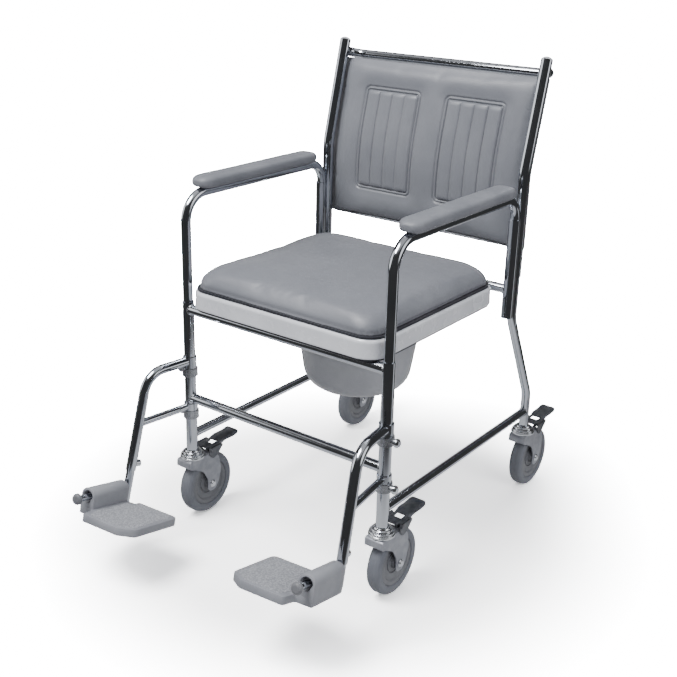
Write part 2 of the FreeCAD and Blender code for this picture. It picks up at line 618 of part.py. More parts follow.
seat_block, seat_corners_feature = seat_slab("seat_block", "0", cell("seat_height"), seat_base)
doc.recompute()
seat_crown = seat_corners_feature.Shape.BoundBox.ZMax
round_edges(seat_block, seat_corners_feature, "seat_edge", cell("seat_wall"),
            lambda edge: edge.BoundBox.ZMin > seat_crown - 1e-6)
seat_cavity, _ = seat_slab("seat_cavity", cell("seat_wall"), f"{cell('seat_height')} - {cell('seat_wall')}",
                           seat_base)
seat_hole = oval_hole("seat_hole", seat_base, f"{cell('seat_height')} + 2")
seat_shell = cut("seat_hollowed", seat_block, seat_cavity)
keep(cut("seat_opened", seat_shell, seat_hole), "seat")

seat_top = seat_base + size("seat_height")
cushion_board, _ = seat_slab("cushion_board_plate", cell("cushion_board_inset"),
                             cell("cushion_board_thickness"), seat_top)
keep(cushion_board, "cushion_board")
board_top = seat_top + size("cushion_board_thickness")
cushion_block, cushion_sides = seat_slab("seat_cushion_block", "0", cell("cushion_height"), board_top)
doc.recompute()
cushion_crown = cushion_sides.Shape.BoundBox.ZMax
round_edges(cushion_block, cushion_sides, "seat_cushion_edge", cell("cushion_edge_radius"),
            lambda edge: edge.BoundBox.ZMin > cushion_crown - 1e-6)
keep(cushion_block, "seat_cushion")

# ---------------------------------------------------------------- pan
pan_rim_top = frame_base - size("runner_gap")
pan_place = place(0, front_y + size("pan_setback"), pan_rim_top)
top = cell("pan_top_radius")
floor = cell("pan_floor_radius")
depth = cell("pan_depth")
wall = cell("pan_wall")
pan_outline = ((rim_radius, "0"), (rim_radius, f"-{cell('pan_rim_thickness')}"),
               (top, f"-{cell('pan_rim_thickness')}"), (floor, f"-{depth}"), ("0", f"-{depth}"),
               ("0", f"-({depth} - {wall})"), (f"{floor} - {wall}", f"-({depth} - {wall})"),
               (f"{top} - {wall}", "0"))
pan = turned("pan", pan_outline, pan_place)
doc.recompute()
pan_turned = pan.Tip


def is_floor_rim(edge):
    box = edge.BoundBox
    on_floor = abs(box.ZMin + size("pan_depth")) < size("pan_wall") + 0.1
    return on_floor and box.ZLength < 1e-6 and box.XLength > size("pan_floor_radius")


round_edges(pan, pan_turned, "pan_floor_rounding", cell("pan_floor_fillet"), is_floor_rim)
keep(pan, "pan")

# ---------------------------------------------------------------- back pad
pad_front = main_radius
pad_rear = pad_front + size("back_pad_thickness")
bend_height = size("post_bend_height")


def pad_point(offset, height):
    """A point of the back pad's side view, a distance behind the post's axis."""
    if height > bend_height:
        return FreeCAD.Vector(0, post_axis_y(height) + offset / math.cos(recline), height)
    return FreeCAD.Vector(0, post_y + offset, height)


top_front = pad_point(pad_front, size("back_pad_top_height"))
top_rear = top_front + FreeCAD.Vector(0, math.cos(recline), -math.sin(recline)) * size("back_pad_thickness")
pad_outline = [pad_point(pad_front, size("back_pad_bottom_height")),
               pad_point(pad_rear, size("back_pad_bottom_height")),
               FreeCAD.Vector(0, post_y + pad_rear, bend_height - pad_rear * math.tan(recline / 2)),
               top_rear, top_front,
               FreeCAD.Vector(0, post_y + pad_front, bend_height - pad_front * math.tan(recline / 2))]
pad_face = Part.Face(Part.makePolygon(pad_outline + pad_outline[:1]))
half_pad = half_spacing + size("back_pad_overlap")
pad_solid = pad_face.extrude(FreeCAD.Vector(2 * half_pad, 0, 0))
for offset in (pad_front, pad_rear):
    bend_line = bend_height - offset * math.tan(recline / 2)
    bend_edges = [edge for edge in pad_solid.Edges if edge.BoundBox.XLength > size("back_pad_thickness")
                  and abs(edge.BoundBox.ZMin - bend_line) < 1e-3 and edge.BoundBox.ZLength < 1e-3]
    pad_solid = pad_solid.makeFillet(size("post_bend_radius") - offset, bend_edges)
back_pad = doc.addObject("Part::Feature", "back_pad_solid")
back_pad.Shape = pad_solid
back_pad.Placement = place(-half_pad, 0, 0)
keep(back_pad, "back_pad")

# dome-headed screws that hold the pad to the posts, from behind
screw_heads = []
screw_x = half_spacing - size("back_screw_diameter") / 2
SCREW_ROWS = ((0.1, "low"), (0.35, "mid"), (0.88, "high"))  # share of the pad's height
head = f"{cell('back_screw_diameter')} / 2"
for side, sign in SIDES:
    for share, name in SCREW_ROWS:
        height = (1 - share) * size("back_pad_bottom_height") + share * size("back_pad_top_height")
        tilt = recline if height > bend_height else 0.0
        seat_point = pad_point(pad_front, height)
        facing = FreeCAD.Rotation(ACROSS, -90 - math.degrees(tilt))
        into_pad = FreeCAD.Vector(0, math.cos(tilt), -math.sin(tilt)) * size("back_pad_thickness")
        origin = seat_point + into_pad
        screw = turned(f"back_screw_{side}_{name}", (("0", "0"), (head, "0"), (head, f"{head} / 5"),
                                                     (f"{head} / 2", f"{head} / 2"), ("0", f"{head} / 2")),
                       place(sign * screw_x, origin.y, origin.z, facing))
        screw_heads.append(screw)
screws = doc.addObject("Part::Compound", "back_screw_set")
screws.Links = screw_heads
keep(screws, "back_screws")

# ---------------------------------------------------------------- castors
MAIN_TUBE = cell("main_tube_diameter")
CASTORS = (("front_left", -1, front_y, MAIN_TUBE), ("front_right", 1, front_y, MAIN_TUBE),
           ("rear_left", -1, rear_y, LIGHT_TUBE), ("rear_right", 1, rear_y, LIGHT_TUBE))
wheel_radius = size("wheel_diameter") / 2
crown = cell("fork_crown_height")
trail = cell("castor_trail")
axle_height = f"{cell('wheel_diameter')} / 2"
half_gap = f"{cell('fork_gap')} / 2"
fork_half_width = f"({half_gap} + {cell('fork_sheet')})"
bolt_half_width = f"({fork_half_width} + {cell('axle_head_height')})"
bolt_radius = f"{cell('axle_diameter')} / 2"
bolt_head_radius = f"{cell('axle_head_diameter')} / 2"
hub_bore = f"({bolt_radius} + {cell('running_gap')})"
boss_radius = f"{cell('hub_boss_diameter')} / 2"
boss_half = f"{cell('hub_boss_length')} / 2"
hub_radius = f"{cell('hub_diameter')} / 2"
hub_half = f"{cell('hub_width')} / 2"
web_half = f"{cell('hub_width')} / 6"
rim_inside = f"({hub_radius} - {cell('hub_rim_depth')})"
tyre_flank = f"({hub_radius} + {cell('tyre_flare')})"
tyre_edge = f"({cell('wheel_diameter')} / 2 - {cell('tyre_edge_drop')})"
tyre_shoulder = f"({cell('wheel_diameter')} / 2 - {cell('tyre_edge_drop')} / 4)"
tyre_radius = f"{cell('wheel_diameter')} / 2"
tyre_half = f"{cell('wheel_width')} / 2"


def fork_shape(label, x, y):
    """A pressed steel fork: two raked cheeks, a crown and a closed front skirt."""
    body = doc.addObject("PartDesign::Body", label + "_body")
    outline = sketch_on(body, label + "_outline", "YZ_Plane")
    eye = cell("fork_eye_radius")
    polygon(outline, ((f"-{cell('fork_front')}", crown),
                      (f"-{cell('fork_front')}", f"{crown} - {cell('fork_skirt')}"),
                      (f"{trail} - {eye}", f"{axle_height} - {eye} / 2"),
                      (f"{trail} - {eye} / 2", f"{axle_height} - {eye}"),
                      (f"{trail} + {eye} / 2", f"{axle_height} - {eye}"),
                      (f"{trail} + {eye}", f"{axle_height} - {eye} / 2"),
                      (f"{trail} + {eye}", f"{axle_height} + {eye}"),
                      (cell("fork_rear"), crown)))
    pad = body.newObject("PartDesign::Pad", label + "_block")
    pad.Profile = outline
    pad.setExpression("Length", f"2 * {fork_half_width}")
    pad.Midplane = True
    front = -size("fork_front")
    rounded = round_edges(body, pad, label + "_front_corners", cell("fork_corner_radius"),
                          lambda edge: is_upright(edge) and abs(edge.BoundBox.YMin - front) < 1e-6)
    hollow = sketch_on(body, label + "_hollow_outline", "YZ_Plane")
    sheet_gap = cell("fork_sheet")
    polygon(hollow, ((f"{sheet_gap} - {cell('fork_front')}", f"{crown} - {sheet_gap}"),
                     (f"{sheet_gap} - {cell('fork_front')}", f"{crown} - {cell('fork_skirt')} - {sheet_gap}"),
                     (f"-{cell('fork_front')} - 1", f"{crown} - {cell('fork_skirt')} - {sheet_gap}"),
                     (f"-{cell('fork_front')} - 1", "1"),
                     (f"{trail} + {tyre_radius}", "1"),
                     (f"{trail} + {tyre_radius}", f"{crown} - {sheet_gap}")))
    pocket = body.newObject("PartDesign::Pocket", label + "_hollow")
    pocket.Profile = hollow
    pocket.setExpression("Length", cell("fork_gap"))
    pocket.Midplane = True
    body.Tip = pocket
    body.Placement = place(x, y, 0)
    bore = primitive_cylinder(label + "_axle_bore", bolt_radius, f"2 * {cell('fork_gap')}",
                              place(x - size("fork_gap"), y + size("castor_trail"), wheel_radius, ALONG_X))
    return cut(label + "_bored", body, bore)


def pedal_shape(label, x, y):
    """A pressed brake pedal: a windowed plate with an upturned tip and two side flanges."""
    thick = cell("pedal_sheet")
    low = cell("pedal_height")
    near = cell("pedal_front")
    far = cell("pedal_reach")
    bend = f"({far} - 3 * {cell('pedal_lip')})"
    body = doc.addObject("PartDesign::Body", label + "_body")
    side_view = sketch_on(body, label + "_side_view", "YZ_Plane")
    polygon(side_view, ((near, low), (bend, low), (far, f"{low} + {cell('pedal_lip')}"),
                        (far, f"{low} + {cell('pedal_lip')} + {thick}"), (bend, f"{low} + {thick}"),
                        (near, f"{low} + {thick}")))
    pad = body.newObject("PartDesign::Pad", label + "_plate")
    pad.Profile = side_view
    pad.setExpression("Length", cell("pedal_width"))
    pad.Midplane = True
    body.Placement = place(x, y, 0)
    window = doc.addObject("Part::Box", label + "_window")
    window.setExpression("Length", cell("pedal_window"))
    window.setExpression("Width", f"{cell('pedal_window')} * 2")
    window.setExpression("Height", f"{thick} * 3")
    window_y = y + size("pedal_pivot_setback") + size("pedal_flange")
    window.Placement = place(x - size("pedal_window") / 2, window_y, size("pedal_height") - size("pedal_sheet"))
    pieces = [cut(label + "_windowed", body, window)]
    half_width = size("pedal_width") / 2
    for name, flange_x in (("inner", -half_width), ("outer", half_width - size("pedal_sheet"))):
        flange = doc.addObject("Part::Box", f"{label}_flange_{name}")
        flange.setExpression("Length", thick)
        flange.setExpression("Width", f"({far} - {near}) / 3")
        flange.setExpression("Height", f"{cell('pedal_flange')} + {thick}")
        flange.Placement = place(x + flange_x, y + size("pedal_front"),
                                 size("pedal_height") - size("pedal_flange"))
        pieces.append(flange)
    return fuse(label + "_pressed", pieces)


cups = []
for name, sign, castor_y, leg_diameter in CASTORS:
    x = sign * half_spacing
    cup_radius = f"{cell('cup_diameter')} / 2"
    stem_radius = f"({leg_diameter} / 2 - {cell('tube_wall')})"
    cup_base = f"({crown} + {cell('swivel_gap')})"
    foot = cell("leg_foot_height")
    cup_rise = f"({foot} - {cup_base})"
    cup_neck = f"{cup_radius} * 0.6"
    cup_shoulder = f"{cup_base} + {cup_rise} * 0.62"
    cup_outline = (("0", cup_base), (cup_radius, cup_base), (cup_radius, f"{cup_base} + {cup_rise} / 4"),
                   (f"{cup_radius} * 0.9", f"{cup_base} + {cup_rise} / 3"),
                   (f"{cup_radius} * 0.7", cup_shoulder),
                   (cup_neck, cup_shoulder), (cup_neck, foot), (stem_radius, foot),
                   (stem_radius, f"{foot} + {cell('stem_length')}"), ("0", f"{foot} + {cell('stem_length')}"))
    cups.append(turned(f"castor_cup_{name}", cup_outline, place(x, castor_y, 0)))

    keep(fork_shape(f"castor_fork_{name}", x, castor_y), f"castor_fork_{name}")
    axle_place = place(x, castor_y + size("castor_trail"), wheel_radius, ALONG_X)
    axle_outline = (("0", f"-{bolt_half_width}"), (bolt_head_radius, f"-{bolt_half_width}"),
                    (bolt_head_radius, f"-{fork_half_width}"), (bolt_radius, f"-{fork_half_width}"),
                    (bolt_radius, fork_half_width), (bolt_head_radius, fork_half_width),
                    (bolt_head_radius, bolt_half_width), ("0", bolt_half_width))
    keep(turned(f"castor_axle_{name}", axle_outline, axle_place), f"castor_axle_{name}")
    hub_outline = ((hub_bore, f"-{boss_half}"), (boss_radius, f"-{boss_half}"), (boss_radius, f"-{web_half}"),
                   (rim_inside, f"-{web_half}"), (rim_inside, f"-{hub_half}"), (hub_radius, f"-{hub_half}"),
                   (hub_radius, hub_half), (rim_inside, hub_half), (rim_inside, web_half),
                   (boss_radius, web_half), (boss_radius, boss_half), (hub_bore, boss_half))
    keep(turned(f"castor_hub_{name}", hub_outline, axle_place), f"castor_hub_{name}")
    tyre_outline = ((hub_radius, f"-{hub_half}"), (tyre_flank, f"-{tyre_half}"), (tyre_edge, f"-{tyre_half}"),
                    (tyre_shoulder, f"-{tyre_half} * 0.7"), (tyre_radius, f"-{tyre_half} * 0.3"),
                    (tyre_radius, f"{tyre_half} * 0.3"), (tyre_shoulder, f"{tyre_half} * 0.7"),
                    (tyre_edge, tyre_half), (tyre_flank, tyre_half), (hub_radius, hub_half))
    keep(turned(f"castor_tyre_{name}", tyre_outline, axle_place), f"castor_tyre_{name}")
    keep(pedal_shape(f"brake_pedal_{name}", x, castor_y), f"brake_pedal_{name}")
cup_set = doc.addObject("Part::Compound", "castor_cup_set")
cup_set.Links = cups
keep(cup_set, "castor_cups")

# ---------------------------------------------------------------- clamps on the front legs
clamp_rings = []
clamp_nuts = []
for side, sign in SIDES:
    x = sign * half_spacing
    for level in ("low", "high"):
        base = size(f"clamp_{level}_height")
        outwards = FreeCAD.Rotation(BACKWARD, 90 * sign)
        middle = place(x, front_y, base + size("clamp_height") / 2, outwards)
        name = f"clamp_{side}_{level}"
        ring = primitive_cylinder(name + "_ring", f"{cell('main_tube_diameter')} / 2 + {cell('clamp_wall')}",
                                  cell("clamp_height"), place(x, front_y, base))
        boss_end = f"{cell('main_tube_diameter')} / 2 + {cell('clamp_wall')} + {cell('clamp_boss_length')}"
        boss = primitive_cylinder(name + "_boss", f"{cell('clamp_boss_diameter')} / 2", boss_end, middle)
        leg_bore = primitive_cylinder(name + "_leg_bore", f"{cell('main_tube_diameter')} / 2",
                                      f"{cell('clamp_height')} + 2", place(x, front_y, base - 1))
        bolt_bore = primitive_cylinder(name + "_bolt_bore", f"{cell('clamp_bolt_diameter')} / 2",
                                       f"{boss_end} + 1", middle)
        drilled = cut(name + "_clamped", fuse(name + "_block", [ring, boss]), leg_bore)
        clamp_rings.append(cut(name + "_drilled", drilled, bolt_bore))

        shank = f"{cell('clamp_bolt_diameter')} / 2"
        nut = f"{cell('clamp_nut_diameter')} / 2"
        shank_start = f"{cell('main_tube_diameter')} / 2 + 1"
        nut_outline = (("0", shank_start), (shank, shank_start), (shank, boss_end), (nut, boss_end),
                       (nut, f"{boss_end} + {cell('clamp_nut_length')} * 0.5"),
                       (f"{nut} * 0.6", f"{boss_end} + {cell('clamp_nut_length')}"),
                       ("0", f"{boss_end} + {cell('clamp_nut_length')}"))
        clamp_nuts.append(turned(name + "_bolt", nut_outline, middle))
for label, pieces in (("footrest_clamps", clamp_rings), ("clamp_bolts", clamp_nuts)):
    group = doc.addObject("Part::Compound", label + "_set")
    group.Links = pieces
    keep(group, label)

# ---------------------------------------------------------------- footrests
sleeve_bore = f"{cell('main_tube_diameter')} / 2 + {cell('plug_clearance')}"
sleeve_outside = f"{sleeve_bore} + {cell('sleeve_wall')}"
FORWARD_RUN = FreeCAD.Rotation(ACROSS, 90)
for side, sign in SIDES:
    frame = footrest_frame(sign, front_y)
    slip = slider_slip(side)

    # hanger: two sleeves, the bent tube and its lower strut, welded together
    corners = [frame.multVec(FreeCAD.Vector(0, 0, hanger_top)),
               frame.multVec(FreeCAD.Vector(0, -size("hanger_reach"), hanger_top)),
               frame.multVec(hanger_axis(size("hanger_end_height")))]
    bore_corners = [frame.multVec(FreeCAD.Vector(0, -sleeve_radius, hanger_top))] + corners[1:]
    bend = [size("hanger_bend_radius")]
    outside = doc.addObject("Part::Feature", f"hanger_{side}_outside")
    outside.Shape = swept_disc(rounded_path(corners, bend), corners, hanger_radius)
    inside = doc.addObject("Part::Feature", f"hanger_{side}_inside")
    bore_radius = hanger_radius - size("tube_wall")
    inside.Shape = swept_disc(rounded_path(bore_corners, bend), bore_corners, bore_radius)
    weldment = [outside]
    for level, base in (("low", low_sleeve_base), ("high", high_sleeve_base)):
        sleeve_foot = place(sign * half_spacing, front_y, base)
        weldment.append(primitive_cylinder(f"hanger_{side}_sleeve_{level}", sleeve_outside,
                                           cell(f"sleeve_{level}_height"), sleeve_foot))
    strut_height = low_sleeve_base + size("sleeve_low_height") / 2
    strut_reach = -hanger_axis(strut_height).y
    strut_start = frame.multiply(place(0, 0, strut_height, FORWARD_RUN))
    weldment.append(primitive_cylinder(f"hanger_{side}_strut", f"{cell('strut_diameter')} / 2",
                                       f"{strut_reach}", strut_start))
    leg_bore = primitive_cylinder(f"hanger_{side}_leg_bore", sleeve_bore, cell("front_leg_height"),
                                  place(sign * half_spacing, front_y, 0))
    welded = fuse(f"hanger_{side}_welded", weldment)
    keep(cut(f"hanger_{side}_reamed", cut(f"hanger_{side}_bored", welded, inside), leg_bore),
         f"footrest_hanger_{side}")

    rearwards = FreeCAD.Rotation(ACROSS, -90 - size("hanger_rake"))
    screw_place = FreeCAD.Placement(hanger_axis(size("height_screw_height")), rearwards)
    screw = primitive_cylinder(f"height_screw_{side}_head", f"{cell('height_screw_diameter')} / 2",
                               f"{cell('hanger_tube_diameter')} / 2 + {cell('height_screw_length')}",
                               frame.multiply(screw_place))
    keep(cut(f"height_screw_{side}_coped", screw, outside), f"height_screw_{side}")

    # slider: the inner tube and the pin that carries the footplate
    slider_top = hanger_axis(size("hanger_end_height"), slip - size("slider_overlap"))
    slider_end = hanger_axis(size("slider_end_height"), slip)
    down_run = FreeCAD.Rotation(ACROSS, 180 - size("hanger_rake"))
    tube_radius = f"{cell('hanger_tube_diameter')} / 2 - {cell('tube_wall')} - {cell('plug_clearance')}"
    slider = primitive_cylinder(f"slider_{side}_outside", tube_radius, f"{(slider_end - slider_top).Length}",
                                frame.multiply(FreeCAD.Placement(slider_top, down_run)))
    pivot = plate_frame(side, sign, front_y)
    pin = primitive_cylinder(f"slider_{side}_pin", f"{cell('pivot_diameter')} / 2", cell("pivot_reach"),
                             pivot.multiply(place(0, 0, 0, FORWARD_RUN)))
    keep(fuse(f"slider_{side}_welded", [slider, pin]), f"footrest_slider_{side}")
    knob_radius = f"{cell('pivot_knob_diameter')} / 2"
    knob_outline = (("0", "0"), (f"{knob_radius} * 0.8", "0"),
                    (knob_radius, f"{cell('pivot_knob_length')} * 0.3"),
                    (knob_radius, f"{cell('pivot_knob_length')} * 0.6"),
                    (f"{knob_radius} * 0.7", cell("pivot_knob_length")), ("0", cell("pivot_knob_length")))
    keep(turned(f"plate_knob_{side}", knob_outline,
                pivot.multiply(place(0, -size("pivot_reach"), 0, FORWARD_RUN))), f"plate_knob_{side}")

    # footplate: a flat plate with a raised barrel that turns on the pin
    inner = f"{-sign} * {cell('footplate_width')}"
    outer = f"{sign} * {cell('barrel_radius')}"
    front = f"-{cell('footplate_front')}"
    rear = f"-{cell('footplate_rear')}"
    barrel_front = f"-{cell('barrel_front')}"
    barrel_rear = f"-{cell('barrel_rear')}"
    notch = f"{-sign} * {cell('footplate_notch_width')}"
    plate_outline = ((inner, rear), (inner, f"{front} + {cell('footplate_chamfer_along')}"),
                     (f"{inner} + {sign} * {cell('footplate_chamfer_across')}", front),
                     (f"{-sign} * {cell('footplate_front_start')}", front),
                     (f"{-sign} * {cell('barrel_radius')}", barrel_front), (outer, barrel_front),
                     (outer, barrel_rear), (notch, barrel_rear), (notch, rear))
    plate, plate_pad = padded_outline(f"footplate_{side}", plate_outline, cell("footplate_thickness"),
                                      pivot.multiply(place(0, 0, plate_base)))
    innermost = size("footplate_width")
    round_edges(plate, plate_pad, f"footplate_{side}_corners", cell("footplate_corner_radius"),
                lambda edge: is_upright(edge) and abs(abs(edge.BoundBox.XMin) - innermost) < 1e-6)
    barrel_length = f"({cell('barrel_front')} - {cell('barrel_rear')})"
    barrel_foot = pivot.multiply(place(0, -size("barrel_rear"), 0, FORWARD_RUN))
    barrel = primitive_cylinder(f"footplate_{side}_barrel", cell("barrel_radius"), barrel_length, barrel_foot)
    web = doc.addObject("Part::Box", f"footplate_{side}_web")
    web.setExpression("Length", f"2 * {cell('barrel_radius')}")
    web.setExpression("Width", barrel_length)
    web.setExpression("Height", f"{cell('footplate_drop')} + {cell('footplate_thickness')}")
    web.Placement = pivot.multiply(place(-size("barrel_radius"), -size("barrel_front"), plate_base))
    bore_size = f"{cell('pivot_diameter')} / 2 + {cell('running_gap')}"
    bore = primitive_cylinder(f"footplate_{side}_bore", bore_size,
                              f"{barrel_length} + 2", barrel_foot.multiply(place(0, 0, -1)))
    mouth_start = size("barrel_front") - size("barrel_rear") - size("barrel_mouth_depth")
    mouth = primitive_cylinder(f"footplate_{side}_mouth", f"{cell('barrel_mouth_diameter')} / 2",
                               f"{cell('barrel_mouth_depth')} + 1",
                               barrel_foot.multiply(place(0, 0, mouth_start)))
    moulded = fuse(f"footplate_{side}_moulded", [plate, barrel, web])
    bored = cut(f"footplate_{side}_bored", moulded, bore)
    keep(cut(f"footplate_{side}_opened", bored, mouth), f"footplate_{side}")

# ---------------------------------------------------------------- checks and export
doc.recompute()
faults = [f"{item.Name}: {item.State}" for item in doc.Objects
          if "Invalid" in item.State or "Error" in item.State]
for node in nodes:
    if node.Shape.isNull() or not node.Shape.isValid() or not node.Shape.Solids:
        faults.append(f"{node.Label}: no valid solid")
if faults:
    raise RuntimeError("; ".join(faults))
os.makedirs("parts", exist_ok=True)
for node in nodes:
    node.Shape.exportStep(f"parts/{node.Label}.step")
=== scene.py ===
import bpy
import bmesh
import json
import math
from mathutils import Matrix, Vector, noise
from mathutils.bvhtree import BVHTree


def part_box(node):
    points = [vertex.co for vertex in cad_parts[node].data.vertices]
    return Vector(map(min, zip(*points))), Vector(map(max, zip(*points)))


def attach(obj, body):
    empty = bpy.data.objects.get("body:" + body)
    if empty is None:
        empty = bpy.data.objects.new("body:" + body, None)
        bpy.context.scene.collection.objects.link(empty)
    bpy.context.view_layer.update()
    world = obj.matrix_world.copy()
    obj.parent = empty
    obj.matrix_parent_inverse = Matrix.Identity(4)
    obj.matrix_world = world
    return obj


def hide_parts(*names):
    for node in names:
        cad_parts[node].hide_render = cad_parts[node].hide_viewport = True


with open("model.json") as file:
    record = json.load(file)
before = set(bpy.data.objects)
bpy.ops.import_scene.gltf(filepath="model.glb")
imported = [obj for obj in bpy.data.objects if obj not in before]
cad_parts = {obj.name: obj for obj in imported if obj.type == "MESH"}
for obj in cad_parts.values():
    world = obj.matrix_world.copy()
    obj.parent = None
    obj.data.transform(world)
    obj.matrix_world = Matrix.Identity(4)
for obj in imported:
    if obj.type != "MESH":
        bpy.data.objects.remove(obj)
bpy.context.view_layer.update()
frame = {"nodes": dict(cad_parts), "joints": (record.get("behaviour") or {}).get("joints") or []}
nodes = frame["nodes"]
joints = {joint["name"]: joint for joint in frame["joints"]}
MM = 0.001
SIDES = (("left", -1), ("right", 1))
CORNERS = ("front_left", "front_right", "rear_left", "rear_right")

# ---------------------------------------- chromed tube frame
# Legs, posts, crossbars, rails, arm sockets and push bar are bent steel tube, welded together and
# then chromed.  The welds are dressed but still show as a low bead round each joint.


def new_material(name):
    """A node material, with its tree, its shader and the object coordinates it is painted by."""
    material = bpy.data.materials.new(name)
    material.use_nodes = True
    tree = material.node_tree
    shader = tree.nodes["Principled BSDF"]
    coordinates = tree.nodes.new("ShaderNodeTexCoord")
    return material, tree, shader, coordinates.outputs["Object"]


def add_node(tree, kind, values=None, **settings):
    """A node with some of its inputs' values and its own settings given."""
    node = tree.nodes.new(kind)
    for name, setting in settings.items():
        setattr(node, name, setting)
    for socket, value in (values or {}).items():
        node.inputs[socket].default_value = value
    return node


def link_all(tree, *pairs):
    """Join each source socket to its target."""
    for source, target in pairs:
        tree.links.new(source, target)


def noise_field(tree, coordinates, scale, detail=3.0):
    """A noise value over the piece; the scale is in cells to the metre."""
    field = add_node(tree, "ShaderNodeTexNoise", {"Scale": scale, "Detail": detail})
    tree.links.new(coordinates, field.inputs["Vector"])
    return field.outputs["Fac"]


def ramp_between(tree, value, low, high, start=0.35, end=0.65):
    """Two values or two colours, mixed by a field."""
    ramp = tree.nodes.new("ShaderNodeValToRGB")
    ramp.color_ramp.elements[0].position = start
    ramp.color_ramp.elements[1].position = end
    for element, level in zip(ramp.color_ramp.elements, (low, high)):
        colour = level if isinstance(level, tuple) else (level, level, level)
        element.color = (*colour, 1.0)
    tree.links.new(value, ramp.inputs["Fac"])
    return ramp.outputs["Color"]


def add_bump(tree, shader, height, strength, distance, under=None):
    """Raise the surface by a height field, on top of any bump laid under it."""
    bump = add_node(tree, "ShaderNodeBump", {"Strength": strength, "Distance": distance})
    tree.links.new(height, bump.inputs["Height"])
    if under is not None:
        tree.links.new(under, bump.inputs["Normal"])
    tree.links.new(bump.outputs["Normal"], shader.inputs["Normal"])
    return bump.outputs["Normal"]


def mottled_finish(name, dark, light, rough, metallic=0.0, mottle=14.0, grain=900.0, grain_depth=0.00008,
                   wave=25.0, wave_depth=0.0002, coat=0.0):
    """A finish with mottled colour, wandering roughness, a slow wave and a fine grain."""
    material, tree, shader, place = new_material(name)
    shader.inputs["Metallic"].default_value = metallic
    shader.inputs["Coat Weight"].default_value = coat
    tree.links.new(ramp_between(tree, noise_field(tree, place, mottle), dark, light),
                   shader.inputs["Base Color"])
    tree.links.new(ramp_between(tree, noise_field(tree, place, mottle * 3), rough[0], rough[1]),
                   shader.inputs["Roughness"])
    slow = add_bump(tree, shader, noise_field(tree, place, wave, 1.0), 0.3, wave_depth)
    add_bump(tree, shader, noise_field(tree, place, grain), 0.35, grain_depth, slow)
    return material


def paint_nodes(finish, *stems):
    """Give every frame node whose name starts with one of the stems a finish."""
    for name, node in nodes.items():
        if name.startswith(stems):
            node.data.materials.clear()
            node.data.materials.append(finish)


chrome = mottled_finish("chrome_plating", (0.5, 0.525, 0.575), (0.6, 0.625, 0.67), (0.07, 0.12), metallic=1.0,
                        grain=300.0, grain_depth=0.00001, wave=18.0, wave_depth=0.00006)
paint_nodes(chrome, "front_leg", "rear_leg", "back_post", "front_crossbar", "rear_crossbar", "lower_rail",
            "arm_socket", "push_bar", "arm_tube", "footrest_hanger", "footrest_slider")


def box_centre(node):
    """The middle of a frame node's box, in metres."""
    low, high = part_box(node)
    return [(a + b) / 2 for a, b in zip(low, high)]


def box_size(node):
    """The size of a frame node's box, in metres."""
    low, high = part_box(node)
    return [b - a for a, b in zip(low, high)]


def tree_socket(tree, name, kind, default=None):
    """A named input on a Geometry Nodes tree; returns its identifier."""
    socket = tree.interface.new_socket(name, in_out="INPUT", socket_type=kind)
    if default is not None:
        socket.default_value = default
    return socket.identifier


def settled_mesh(holder):
    """The mesh an object has once its modifiers have run; the object itself goes."""
    mesh = bpy.data.meshes.new_from_object(holder.evaluated_get(bpy.context.evaluated_depsgraph_get()))
    bpy.data.objects.remove(holder)
    return mesh


def holder_of(mesh, name):
    """An object that holds a mesh while a modifier works on it."""
    holder = bpy.data.objects.new(name, mesh)
    bpy.context.collection.objects.link(holder)
    return holder


def grown_mesh(tree, carrier, values):
    """Run a Geometry Nodes tree on a carrier mesh and give back the plain mesh it makes."""
    holder = holder_of(carrier, tree.name + "_carrier")
    modifier = holder.modifiers.new("grow", "NODES")
    modifier.node_group = tree
    for identifier, value in values.items():
        modifier[identifier] = value
    return settled_mesh(holder)


def smooth_mesh(mesh, sharp=38.0):
    """Shade a mesh smooth, with edges sharper than an angle in degrees kept crisp."""
    mesh.shade_smooth()
    mesh.set_sharp_from_angle(angle=math.radians(sharp))
    return mesh


def fit_piece(name, mesh, finishes, body, slot, *stands_for):
    """Put a finished mesh on its body, in place of the frame nodes it stands for."""
    mesh.name = name
    for number, finish in enumerate(finishes):
        if number < len(mesh.materials):
            mesh.materials[number] = finish
        else:
            mesh.materials.append(finish)
    piece = bpy.data.objects.new(name, mesh)
    bpy.context.collection.objects.link(piece)
    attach(piece, body)
    if stands_for:
        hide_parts(*stands_for)
    return piece


weld_metal = mottled_finish("weld_metal", (0.42, 0.43, 0.45), (0.56, 0.57, 0.6), (0.16, 0.3), metallic=1.0,
                            mottle=160.0, grain=700.0, grain_depth=0.0001)
BEAD_RADIUS = 1.5 * MM
BEAD_STEPS = 40
RIPPLE_SCALE = 420.0
RIPPLE_HEIGHT = 0.6 * MM


